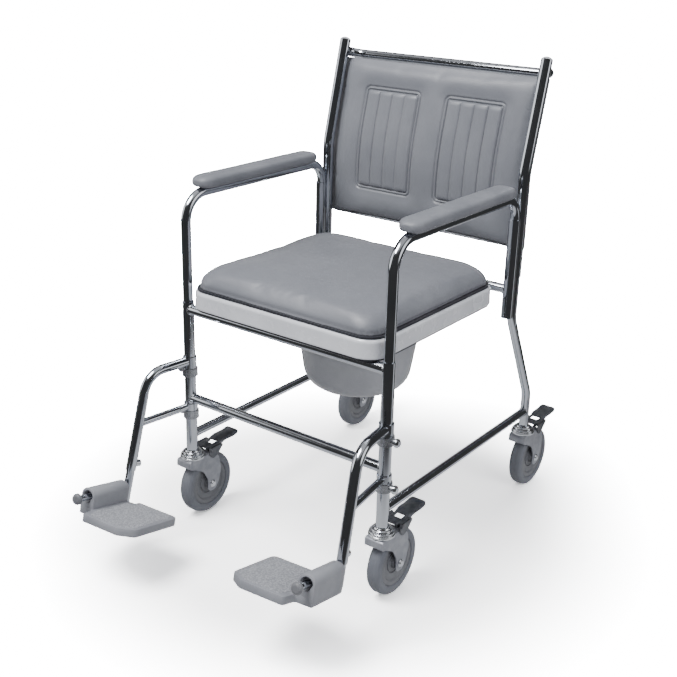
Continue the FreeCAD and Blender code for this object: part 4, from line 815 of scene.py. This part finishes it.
def panel_distance(across, along):
    """How far a point of the pad lies outside the nearest panel; negative inside."""
    half_width = (PANEL_OUTER - PANEL_INNER) / 2
    half_length = (PANEL_HIGH - PANEL_LOW) / 2
    dx = abs(abs(across) - (PANEL_OUTER + PANEL_INNER) / 2) - half_width + PANEL_CORNER
    dy = abs(along - (PANEL_HIGH + PANEL_LOW) / 2) - half_length + PANEL_CORNER
    outside_corner = math.hypot(max(dx, 0.0), max(dy, 0.0))
    return outside_corner + min(max(dx, dy), 0.0) - PANEL_CORNER


def channel(distance, width, depth):
    """A soft groove of a width and depth, at a distance from its line."""
    return depth * math.exp(-(distance / width) ** 2)


def pressed_depth(across, along):
    """How far the front is pushed in (positive) or stands out (negative) by the panels and hem."""
    distance = panel_distance(across, along)
    depth = channel(distance, 1.7, 2.8) + channel(max(distance, 0.0), 14.0, 3.6)
    depth += channel(along - straight - bend_length / 2, 30.0, 2.6)
    if distance < 0:
        depth += 1.6 * min(-distance / 3.0, 1.0) + channel(distance + WELT, 1.5, 1.9)
        depth -= channel(distance + WELT / 2, 1.6, 1.2)
    if distance < -WELT:
        inside = (abs(across) - PANEL_INNER - WELT) / RIB_WIDTH
        share = abs((inside % 1.0) * 2 - 1)
        ends = min((along - PANEL_LOW - WELT) / RIB_END, (PANEL_HIGH - WELT - along) / RIB_END, 1.0)
        fade = math.sin(max(ends, 0.0) * math.pi / 2) ** 0.6
        depth -= RIB_RISE * math.sqrt(max(1 - share ** 2.4, 0.0)) * fade
    if along < HEM + 4:
        depth += channel(along - HEM - 1.0, 1.3, 2.6) - channel(along - HEM / 2, 2.2, 1.0)
    return depth


def fine_lines(low, high, marks, coarse=5.0, fine=1.1):
    """Grid lines between two ends, close together within reach of each mark."""
    lines = [low]
    while lines[-1] < high:
        here = lines[-1]
        near = any(start - fine <= here <= end for start, end in marks)
        lines.append(here + (fine if near else coarse))
    lines[-1] = high
    return lines


across_marks = [(-pad_half, -pad_half + 6), (pad_half - 8, pad_half)]
for sign in (-1, 1):
    for low, high in ((PANEL_INNER - 5, PANEL_INNER + 14), (PANEL_OUTER - 14, PANEL_OUTER + 5)):
        across_marks.append((min(sign * low, sign * high), max(sign * low, sign * high)))
    for rib in range(1, RIBS):
        seam = sign * (PANEL_INNER + WELT + rib * RIB_WIDTH)
        across_marks.append((seam - 6, seam + 5))
along_marks = [(0, HEM + 6), (PANEL_LOW - 5, PANEL_LOW + 20), (PANEL_HIGH - 20, PANEL_HIGH + 5),
               (pad_length - 6, pad_length)]
columns = fine_lines(-pad_half, pad_half, across_marks)
row_lines = fine_lines(0.0, pad_length, along_marks)
REAR_ROUND, REAR_DROP = 3.0, 2.2
EDGE_REACH, EDGE_DROP = 5.0, 4.5
PROBE_DISTANCE = 30.0
WRINKLE = 0.5
pad = bmesh.new()
front, back = [], []
for along in row_lines:
    front_row, back_row = [], []
    for across in columns:
        edge = min(along, pad_length - along, pad_half - abs(across))
        probe = min(max(along, 3.0), pad_length - 3.0)
        probe_across = max(min(across, pad_half - 3), 3 - pad_half)
        outward = rearward(probe)
        start = pad_point(probe_across, probe, -PROBE_DISTANCE)
        hit = pad_hits.ray_cast(start, outward, 80 * MM)
        behind = (hit[0] - start).length / MM - PROBE_DISTANCE if hit[0] else post_radius + FRONT_GAP
        rolled = EDGE_DROP * (1 - math.sqrt(max(1 - (1 - min(edge / EDGE_REACH, 1.0)) ** 2, 0.0)))
        behind = min(behind + rolled + pressed_depth(across, along), pad_rear - 3.0)
        wrinkle = WRINKLE * noise.noise(Vector((across / 34, along / 46, 8.1)))
        front_row.append(pad.verts.new(pad_point(across, along, behind + wrinkle)))
        inset = 1 - min(edge / REAR_ROUND, 1.0)
        back_row.append(pad.verts.new(pad_point(across, along, pad_rear - REAR_DROP * inset ** 2)))
    front.append(front_row)
    back.append(back_row)
for rows_of, turn in ((front, 1), (back, -1)):
    for low, high in zip(rows_of, rows_of[1:]):
        for k in range(len(low) - 1):
            face = (low[k], low[k + 1], high[k + 1], high[k])
            pad.faces.new(face[::turn])
for (front_low, front_high), (back_low, back_high) in zip(zip(front, front[1:]), zip(back, back[1:])):
    for column in (0, -1):
        pad.faces.new((front_low[column], front_high[column], back_high[column], back_low[column]))
for row in (0, -1):
    for k in range(len(columns) - 1):
        pad.faces.new((front[row][k], front[row][k + 1], back[row][k + 1], back[row][k]))
backrest = fit_piece("backrest_cover", as_mesh(pad, 70.0), [vinyl], "frame", "upholstery", "back_pad")

# Round-headed screws with washers hold the pad to the posts, three a side.
SCREW_RADIUS = 5.5
SCREW_PROFILE = ((0, -1.5, 0), (SCREW_RADIUS, -1.5, 0), (SCREW_RADIUS, 0.9, 0.5), (4.4, 1.0, 0.2),
                 (4.2, 2.0, 1.2), (2.4, 2.9, 1.5), (0.9, 2.9, 0.2), (0.8, 1.6, 0), (0, 1.6, 0))
# Heights up the pad, below and above the bend of the posts, each with how far the screws lean there.
SCREW_ROWS = (((31.8, 111.3), 0.0), ((286.0,), RECLINE))


def screw_tree(finish):
    """A screw head on every point of the carrier, turned by the lean."""
    tree = bpy.data.node_groups.new("back_screws", "GeometryNodeTree")
    tree_socket(tree, "Points", "NodeSocketGeometry")
    head_input = tree_socket(tree, "Head", "NodeSocketObject")
    lean_input = tree_socket(tree, "Lean", "NodeSocketRotation")
    tree.interface.new_socket("Screws", in_out="OUTPUT", socket_type="NodeSocketGeometry")
    given = add_node(tree, "NodeGroupInput")
    head = add_node(tree, "GeometryNodeObjectInfo")
    place = add_node(tree, "GeometryNodeInstanceOnPoints")
    realize = add_node(tree, "GeometryNodeRealizeInstances")
    paint = add_node(tree, "GeometryNodeSetMaterial", {"Material": finish})
    result = add_node(tree, "NodeGroupOutput")
    link_all(tree, (given.outputs["Head"], head.inputs["Object"]),
             (given.outputs["Points"], place.inputs["Points"]),
             (head.outputs["Geometry"], place.inputs["Instance"]),
             (given.outputs["Lean"], place.inputs["Rotation"]),
             (place.outputs["Instances"], realize.inputs["Geometry"]),
             (realize.outputs["Geometry"], paint.inputs["Geometry"]),
             (paint.outputs["Geometry"], result.inputs["Screws"]))
    return tree, head_input, lean_input


screw_head = bmesh.new()
add_turned(screw_head, millimetres(rounded(SCREW_PROFILE, 4, closed=False)),
           Matrix.Rotation(math.radians(-90), 4, "X"), 32)
head_object = bpy.data.objects.new("screw_head", as_mesh(screw_head, 40.0))
bpy.context.collection.objects.link(head_object)
screw_x = leg_x / MM - SCREW_RADIUS
screws = bmesh.new()
screw_nodes, head_input, lean_input = screw_tree(cup_chrome)
for heights, lean in SCREW_ROWS:
    points = bpy.data.meshes.new("screw_points")
    spots = [pad_point(sign * screw_x, along, pad_rear) for along in heights for sign in (-1, 1)]
    points.from_pydata(spots, [], [])
    screw_values = {head_input: head_object, lean_input: (-lean, 0.0, 0.0)}
    screws.from_mesh(grown_mesh(screw_nodes, points, screw_values))
bpy.data.objects.remove(head_object)
fit_piece("back_screw_heads", as_mesh(screws, 40.0), [cup_chrome], "frame", "chrome_fitting", "back_screws")

# ---------------------------------------- armrest pads
# Self-skinned foam pads with rounded ends, moulded round the level run of each armrest tube.
arm_foam = mottled_finish("arm_foam", (0.12, 0.126, 0.143), (0.142, 0.148, 0.165), (0.4, 0.52), grain=700.0,
                          grain_depth=0.00015)
PAD_SECTION_POINTS = 36
PAD_END = 24 * MM
PAD_END_SHARES = (0.01, 0.04, 0.1, 0.2, 0.32, 0.46, 0.62, 0.8, 1.0)
PAD_MIDDLE_STEPS = 24
PAD_TIP = 0.25
for side, sign in SIDES:
    low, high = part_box(f"arm_pad_{side}")
    x = (low[0] + high[0]) / 2
    half_width = (high[0] - low[0]) / 2
    length = high[1] - low[1]
    rise = high[2] - low[2]
    arm = bmesh.new()
    rings = [[Vector((x, low[1], low[2] + rise * 0.45))]]
    stations = [share * PAD_END for share in PAD_END_SHARES]
    stations += [PAD_END + (length - 2 * PAD_END) * k / PAD_MIDDLE_STEPS for k in range(1, PAD_MIDDLE_STEPS)]
    stations += [length - share * PAD_END for share in reversed(PAD_END_SHARES)]
    for station in stations:
        to_end = min(station, length - station) / PAD_END
        blend = math.sqrt(max(1 - (1 - min(to_end, 1.0)) ** 2.2, 0.0))
        fullness = PAD_TIP + (1 - PAD_TIP) * blend
        wide, tall = half_width * fullness, rise / 2 * fullness
        middle = low[2] + rise / 2 - (1 - blend) * 1.5 * MM
        ring = []
        for k in range(PAD_SECTION_POINTS):
            turn = k * math.tau / PAD_SECTION_POINTS
            aside, upward = math.cos(turn), math.sin(turn)
            power = 0.62 if upward > 0 else 0.45
            across = math.copysign(abs(aside) ** power, aside) * wide
            up = math.copysign(abs(upward) ** 0.75, upward) * tall
            ring.append(Vector((x + across, low[1] + station, middle + up)))
        rings.append(ring)
    rings.append([Vector((x, high[1], low[2] + rise * 0.45))])
    add_loft(arm, rings)
    arm_mesh = as_mesh(arm, 180.0)
    for vert in arm_mesh.vertices:
        vert.co.z += 0.5 * MM * noise.noise(Vector((vert.co.x * 30, vert.co.y * 14, sign * 2.0)))
    arm_piece = fit_piece(f"armrest_pad_{side}", subdivided(arm_mesh), [arm_foam], f"armrest_{side}",
                          "arm_foam", f"arm_pad_{side}")
    arm_piece.data.shade_smooth()

# ---------------------------------------- footrests
# Each hanger turns on two plated clamps on the front leg.  A moulded footplate turns on the pin of
# the sliding tube and is held by a knob; its tread is stippled inside a smooth border.
clamp_zinc = mottled_finish("clamp_zinc", (0.3, 0.31, 0.33), (0.42, 0.43, 0.46), (0.22, 0.36), metallic=0.9,
                            mottle=80.0)
paint_nodes(clamp_zinc, "footrest_clamps")
paint_nodes(cup_chrome, "clamp_bolts", "height_screw")
footplate_smooth = mottled_finish("footplate_smooth", (0.165, 0.171, 0.192), (0.195, 0.201, 0.221),
                                  (0.42, 0.56))
knob_plastic = mottled_finish("knob_plastic", (0.1, 0.103, 0.114), (0.14, 0.143, 0.154), (0.25, 0.38))


def stipple_finish(name, dark, light):
    """Moulded plastic with a stippled face."""
    material, tree, shader, place = new_material(name)
    cells = add_node(tree, "ShaderNodeTexVoronoi", {"Scale": 300.0})
    tree.links.new(place, cells.inputs["Vector"])
    tree.links.new(ramp_between(tree, cells.outputs["Distance"], light, dark, 0.25, 0.6),
                   shader.inputs["Base Color"])
    tree.links.new(ramp_between(tree, noise_field(tree, place, 60.0), 0.5, 0.65), shader.inputs["Roughness"])
    add_bump(tree, shader, cells.outputs["Distance"], 0.6, 0.0006)
    return material


footplate_stipple = stipple_finish("footplate_stipple", (0.17, 0.176, 0.195), (0.29, 0.296, 0.317))
# Corners of the plate seen from above: (inwards from the pin, forwards from the slider, radius).
PLATE_OUTLINE = ((130, 1, 12), (130, 115, 12), (103, 134, 12), (19, 134, 6), (15, 106, 4), (-15.5, 104, 3),
                 (-15.5, 12.8, 3), (34, 12.8, 3), (34, 1, 4))
TREAD_OUTLINE = ((123, 8, 8), (123, 111.5, 10), (100.5, 127, 9), (30, 127, 9), (24, 104, 5), (24, 22, 7),
                 (40, 21, 5), (44, 8, 5))
# Rings of the plate's edge and of its tread, from below upwards: (height, inset).  The low edge's
# heights are from the plate's underside, the others from tread_top.
PLATE_LOW_EDGE = ((0, 1.5), (0.5, 0.4), (1.6, 0))
PLATE_TOP_EDGE = ((-2.2, 0), (-0.7, 0.6), (-0.1, 1.8))
TREAD_EDGE = ((-3.0, 0), (0.15, 0), (0.6, 0.5))
PLATE_DROP, PLATE_THICKNESS, BLOCK_RADIUS, BLOCK_ROUND = 19.7, 15.0, 15.8, 13.5
BLOCK_NEAR, BLOCK_FAR, MOUTH_RADIUS, MOUTH_DEPTH, PIN_HOLE = 12.8, 104.8, 11.8, 14.0, 6.2
BLOCK_MIDDLE, BLOCK_SPAN = -4.0, 18.0
KNOB_REACH = 125.5 * MM
KNOB_PROFILE = ((0, -13, 0), (5.2, -13, 0), (5.2, 0, 0.5), (8.2, 0.4, 1), (10.3, 3, 1.5), (10.3, 6.6, 1.5),
                (8.4, 9.6, 2), (6.0, 10.7, 1.5), (0, 11, 0))
for side, sign in SIDES:
    flip = joints[f"footplate_flip_{side}"]
    pin = Vector(flip["axis"]).normalized()
    pin = pin if pin.y < 0 else -pin
    origin = Vector(flip["pos_m"])
    across = Vector((0, 0, 1)).cross(-pin).normalized()
    across = across if across.x > 0 else -across
    up = across.cross(-pin).normalized()
    stand = Matrix((across, -pin, up)).transposed().to_4x4()
    stand.translation = origin

    def from_above(outline, height, inset=0.0):
        """Points of a plate outline at a height, drawn in towards its middle by an inset."""
        points = []
        for index, here in enumerate(outline):
            run = (outline[(index + 1) % len(outline)] - outline[index - 1]).normalized()
            drawn_in = here + Vector((-run.y, run.x)) * inset
            points.append(stand @ (Vector((-sign * drawn_in.x, -drawn_in.y, height)) * MM))
        return points

    tread_top = -PLATE_DROP
    under = tread_top - PLATE_THICKNESS
    edge_line = rounded(PLATE_OUTLINE, 4)
    tread_line = rounded(TREAD_OUTLINE, 4)
    plate = bmesh.new()
    add_loft(plate, [from_above(edge_line, under + rise, inset) for rise, inset in PLATE_LOW_EDGE]
             + [from_above(edge_line, tread_top + rise, inset) for rise, inset in PLATE_TOP_EDGE])
    tread = bmesh.new()
    add_loft(tread, [from_above(tread_line, tread_top + rise, inset) for rise, inset in TREAD_EDGE], finish=1)
    plate.from_mesh(as_mesh(tread, 30.0))

    # the raised block round the pin, with a rounded back and a wide round mouth in front
    block_section = rounded(((-BLOCK_RADIUS, under + 0.6, 2), (BLOCK_RADIUS, under + 0.6, 2),
                             (BLOCK_RADIUS, BLOCK_RADIUS, BLOCK_ROUND),
                             (-BLOCK_RADIUS, BLOCK_RADIUS, BLOCK_ROUND)), 7)

    def block_ring(forward, shrink=0.0):
        """The block's section at a distance along the pin, shrunk towards its middle."""
        ring = []
        for point in block_section:
            across, up = (point - Vector((0, BLOCK_MIDDLE))) * (1 - shrink / BLOCK_SPAN)
            ring.append(stand @ (Vector((-sign * across, -forward, up + BLOCK_MIDDLE)) * MM))
        return ring

    def mouth_ring(forward, radius):
        """A circle round the pin, with a point for each point of the block's section."""
        turns = [math.atan2(point.y, point.x) for point in block_section]
        return [stand @ (Vector((-sign * radius * math.cos(turn), -forward, radius * math.sin(turn))) * MM)
                for turn in turns]

    block = [block_ring(BLOCK_NEAR, 1.6), block_ring(BLOCK_NEAR + 0.5, 0.5), block_ring(BLOCK_NEAR + 1.8),
             block_ring(BLOCK_FAR - 1.8), block_ring(BLOCK_FAR - 0.5, 0.5), block_ring(BLOCK_FAR, 1.6),
             mouth_ring(BLOCK_FAR, MOUTH_RADIUS + 0.6), mouth_ring(BLOCK_FAR - 0.8, MOUTH_RADIUS),
             mouth_ring(BLOCK_FAR - MOUTH_DEPTH, MOUTH_RADIUS), mouth_ring(BLOCK_FAR - MOUTH_DEPTH, PIN_HOLE),
             mouth_ring(BLOCK_NEAR, PIN_HOLE)]
    add_loft(plate, block, loop=True)
    fit_piece(f"footplate_tread_{side}", as_mesh(plate, 35.0), [footplate_smooth, footplate_stipple],
              f"plate_{side}", "footplate_plastic", f"footplate_{side}")

    knob = bmesh.new()
    knob_place = stand @ Matrix.Translation((0, -KNOB_REACH, 0)) @ Matrix.Rotation(math.radians(90), 4, "X")
    add_turned(knob, millimetres(rounded(KNOB_PROFILE, 5, closed=False)), knob_place, 56)
    fit_piece(f"knob_{side}", as_mesh(knob, 35.0), [knob_plastic], f"slider_{side}", "knob_plastic",
              f"plate_knob_{side}")

# ---------------------------------------- floor, light and camera
# A pale floor with painted light where the camera sees it, soft light from above and in front, and
# darker surroundings that only the polished metal picks up.


def fading(tree, near, far, near_value, far_value):
    """A value that changes smoothly with the distance from the piece's middle."""
    place = add_node(tree, "ShaderNodeTexCoord")
    distance = add_node(tree, "ShaderNodeVectorMath", operation="LENGTH")
    value = add_node(tree, "ShaderNodeMapRange", {"From Min": near, "From Max": far, "To Min": near_value,
                                                  "To Max": far_value}, interpolation_type="SMOOTHSTEP")
    link_all(tree, (place.outputs["Object"], distance.inputs[0]),
             (distance.outputs["Value"], value.inputs["Value"]))
    return value.outputs["Result"]


# Painted light: to the eye the floor brightens away from the chair and stays greyer near it, a painted shade
# round the chair; light meets it as a plain pale sheet.
floor_finish = mottled_finish("pale_floor", (0.34, 0.34, 0.35), (0.36, 0.36, 0.37), (0.6, 0.7), mottle=0.6)
floor_tree = floor_finish.node_tree
camera_floor_painted_light = add_node(floor_tree, "ShaderNodeBsdfDiffuse")
floor_mix = add_node(floor_tree, "ShaderNodeMixShader")
floor_ray = add_node(floor_tree, "ShaderNodeLightPath")
link_all(floor_tree, (fading(floor_tree, 0.35, 1.2, 2.0, 26.0), camera_floor_painted_light.inputs["Color"]),
         (floor_ray.outputs["Is Camera Ray"], floor_mix.inputs[0]),
         (floor_tree.nodes["Principled BSDF"].outputs["BSDF"], floor_mix.inputs[1]),
         (camera_floor_painted_light.outputs["BSDF"], floor_mix.inputs[2]),
         (floor_mix.outputs["Shader"], floor_tree.nodes["Material Output"].inputs["Surface"]))
bpy.ops.mesh.primitive_plane_add(size=120.0, location=(0, 0, 0))
floor = bpy.context.object
floor.name = "floor"
floor.data.materials.append(floor_finish)
floor.visible_glossy = False

# A pale patch on the floor round the chair that only the polished tubes pick up.
glow = bpy.data.materials.new("floor_glow")
glow.use_nodes = True
glow_tree = glow.node_tree
glow_tree.nodes.clear()
glow_clear = add_node(glow_tree, "ShaderNodeBsdfTransparent")
glow_light = add_node(glow_tree, "ShaderNodeEmission", {"Color": (0.97, 0.98, 1.0, 1.0), "Strength": 0.8})
glow_mix = add_node(glow_tree, "ShaderNodeMixShader")
glow_output = add_node(glow_tree, "ShaderNodeOutputMaterial")
link_all(glow_tree, (fading(glow_tree, 0.5, 0.95, 0.0, 1.0), glow_mix.inputs["Fac"]),
         (glow_light.outputs["Emission"], glow_mix.inputs[1]),
         (glow_clear.outputs["BSDF"], glow_mix.inputs[2]),
         (glow_mix.outputs["Shader"], glow_output.inputs["Surface"]))
bpy.ops.mesh.primitive_circle_add(vertices=64, radius=1.0, fill_type="NGON", location=(0, 0, 0))
glow_disc = bpy.context.object
glow_disc.name = "floor_glow"
glow_disc.data.materials.append(glow)
for rays in ("camera", "diffuse", "transmission", "volume_scatter", "shadow"):
    setattr(glow_disc, f"visible_{rays}", False)


def soft_light(name, location, target, width, height, watts):
    """A rectangular lamp that faces a point."""
    light = bpy.data.lights.new(name, "AREA")
    light.shape = "RECTANGLE"
    light.size = width
    light.size_y = height
    light.energy = watts
    lamp = bpy.data.objects.new(name, light)
    bpy.context.collection.objects.link(lamp)
    turn = (Vector(target) - Vector(location)).to_track_quat("-Z", "Y").to_matrix().to_4x4()
    lamp.matrix_world = Matrix.Translation(location) @ turn
    return lamp


soft_light("key_light", (-0.6, -1.5, 3.2), (0, 0, 0.4), 1.5, 1.5, 175.0)
soft_light("fill_light", (3.0, -0.6, 2.0), (0, 0, 0.4), 2.0, 2.0, 65.0).visible_glossy = False
soft_light("back_light", (-0.6, 3.0, 3.0), (0, 0, 0.5), 3.0, 2.0, 60.0).visible_glossy = False

world = bpy.data.worlds.new("studio")
bpy.context.scene.world = world
world.use_nodes = True
sky = world.node_tree
sky.nodes.clear()
sky_output = add_node(sky, "ShaderNodeOutputWorld")
sky_mix = add_node(sky, "ShaderNodeMixShader")
backdrop_mix = add_node(sky, "ShaderNodeMixShader")
ray = add_node(sky, "ShaderNodeLightPath")
even = add_node(sky, "ShaderNodeBackground", {"Color": (0.96, 0.97, 1.0, 1.0), "Strength": 0.78})
shaped = add_node(sky, "ShaderNodeBackground", {"Strength": 1.0})
backdrop = add_node(sky, "ShaderNodeBackground", {"Color": (1.0, 1.0, 1.0, 1.0), "Strength": 14.0})
sky_direction = add_node(sky, "ShaderNodeTexCoord")
# Soft bright panels round the chair, met by glossy rays only: the direction of each, the cosines at
# its faded edge and at its full core, and its brightness.
PANELS = (((0.0, 0.0, 1.0), 0.6, 0.92, 0.6), ((0.0, 0.0, -1.0), 0.7, 0.9, 0.5),
          ((-0.9, -0.5, 0.28), 0.9, 0.965, 1.7), ((0.95, 0.35, 0.28), 0.92, 0.97, 1.6),
          ((-0.5, 0.85, -0.3), 0.72, 0.95, 0.55), ((-0.97, -0.1, -0.38), 0.985, 0.995, 0.8),
          ((0.75, 0.55, -0.38), 0.985, 0.995, 0.7))
total = add_node(sky, "ShaderNodeValue").outputs["Value"]
total.default_value = 0.05
for panel_direction, edge, core, brightness in PANELS:
    dot = add_node(sky, "ShaderNodeVectorMath", {1: Vector(panel_direction).normalized()},
                   operation="DOT_PRODUCT")
    lobe = add_node(sky, "ShaderNodeMapRange", {"From Min": edge, "From Max": core, "To Max": brightness},
                    interpolation_type="SMOOTHSTEP")
    with_panel = add_node(sky, "ShaderNodeMath")
    link_all(sky, (sky_direction.outputs["Generated"], dot.inputs[0]),
             (dot.outputs["Value"], lobe.inputs["Value"]),
             (total, with_panel.inputs[0]),
             (lobe.outputs["Result"], with_panel.inputs[1]))
    total = with_panel.outputs["Value"]
link_all(sky, (total, shaped.inputs["Color"]),
         (ray.outputs["Is Glossy Ray"], sky_mix.inputs["Fac"]),
         (even.outputs["Background"], sky_mix.inputs[1]),
         (shaped.outputs["Background"], sky_mix.inputs[2]),
         (ray.outputs["Is Camera Ray"], backdrop_mix.inputs["Fac"]),
         (sky_mix.outputs["Shader"], backdrop_mix.inputs[1]),
         (backdrop.outputs["Background"], backdrop_mix.inputs[2]),
         (backdrop_mix.outputs["Shader"], sky_output.inputs["Surface"]))

AZIMUTH, ELEVATION, ROLL = (math.radians(angle) for angle in (36.4, 21.3, 1.5))
camera_data = bpy.data.cameras.new("camera")
camera_data.sensor_width = 36.0
camera_data.lens = 56.42
camera = bpy.data.objects.new("camera", camera_data)
bpy.context.collection.objects.link(camera)
back = Vector((math.sin(AZIMUTH) * math.cos(ELEVATION), -math.cos(AZIMUTH) * math.cos(ELEVATION),
               math.sin(ELEVATION)))
level_right = (-back).cross(Vector((0, 0, 1))).normalized()
level_up = level_right.cross(-back)
right = math.cos(ROLL) * level_right + math.sin(ROLL) * level_up
up = math.cos(ROLL) * level_up - math.sin(ROLL) * level_right
turn = Matrix((right, up, back)).transposed().to_4x4()
camera.matrix_world = Matrix.Translation((1.1107, -1.5127, 1.1213)) @ turn
bpy.context.scene.camera = camera
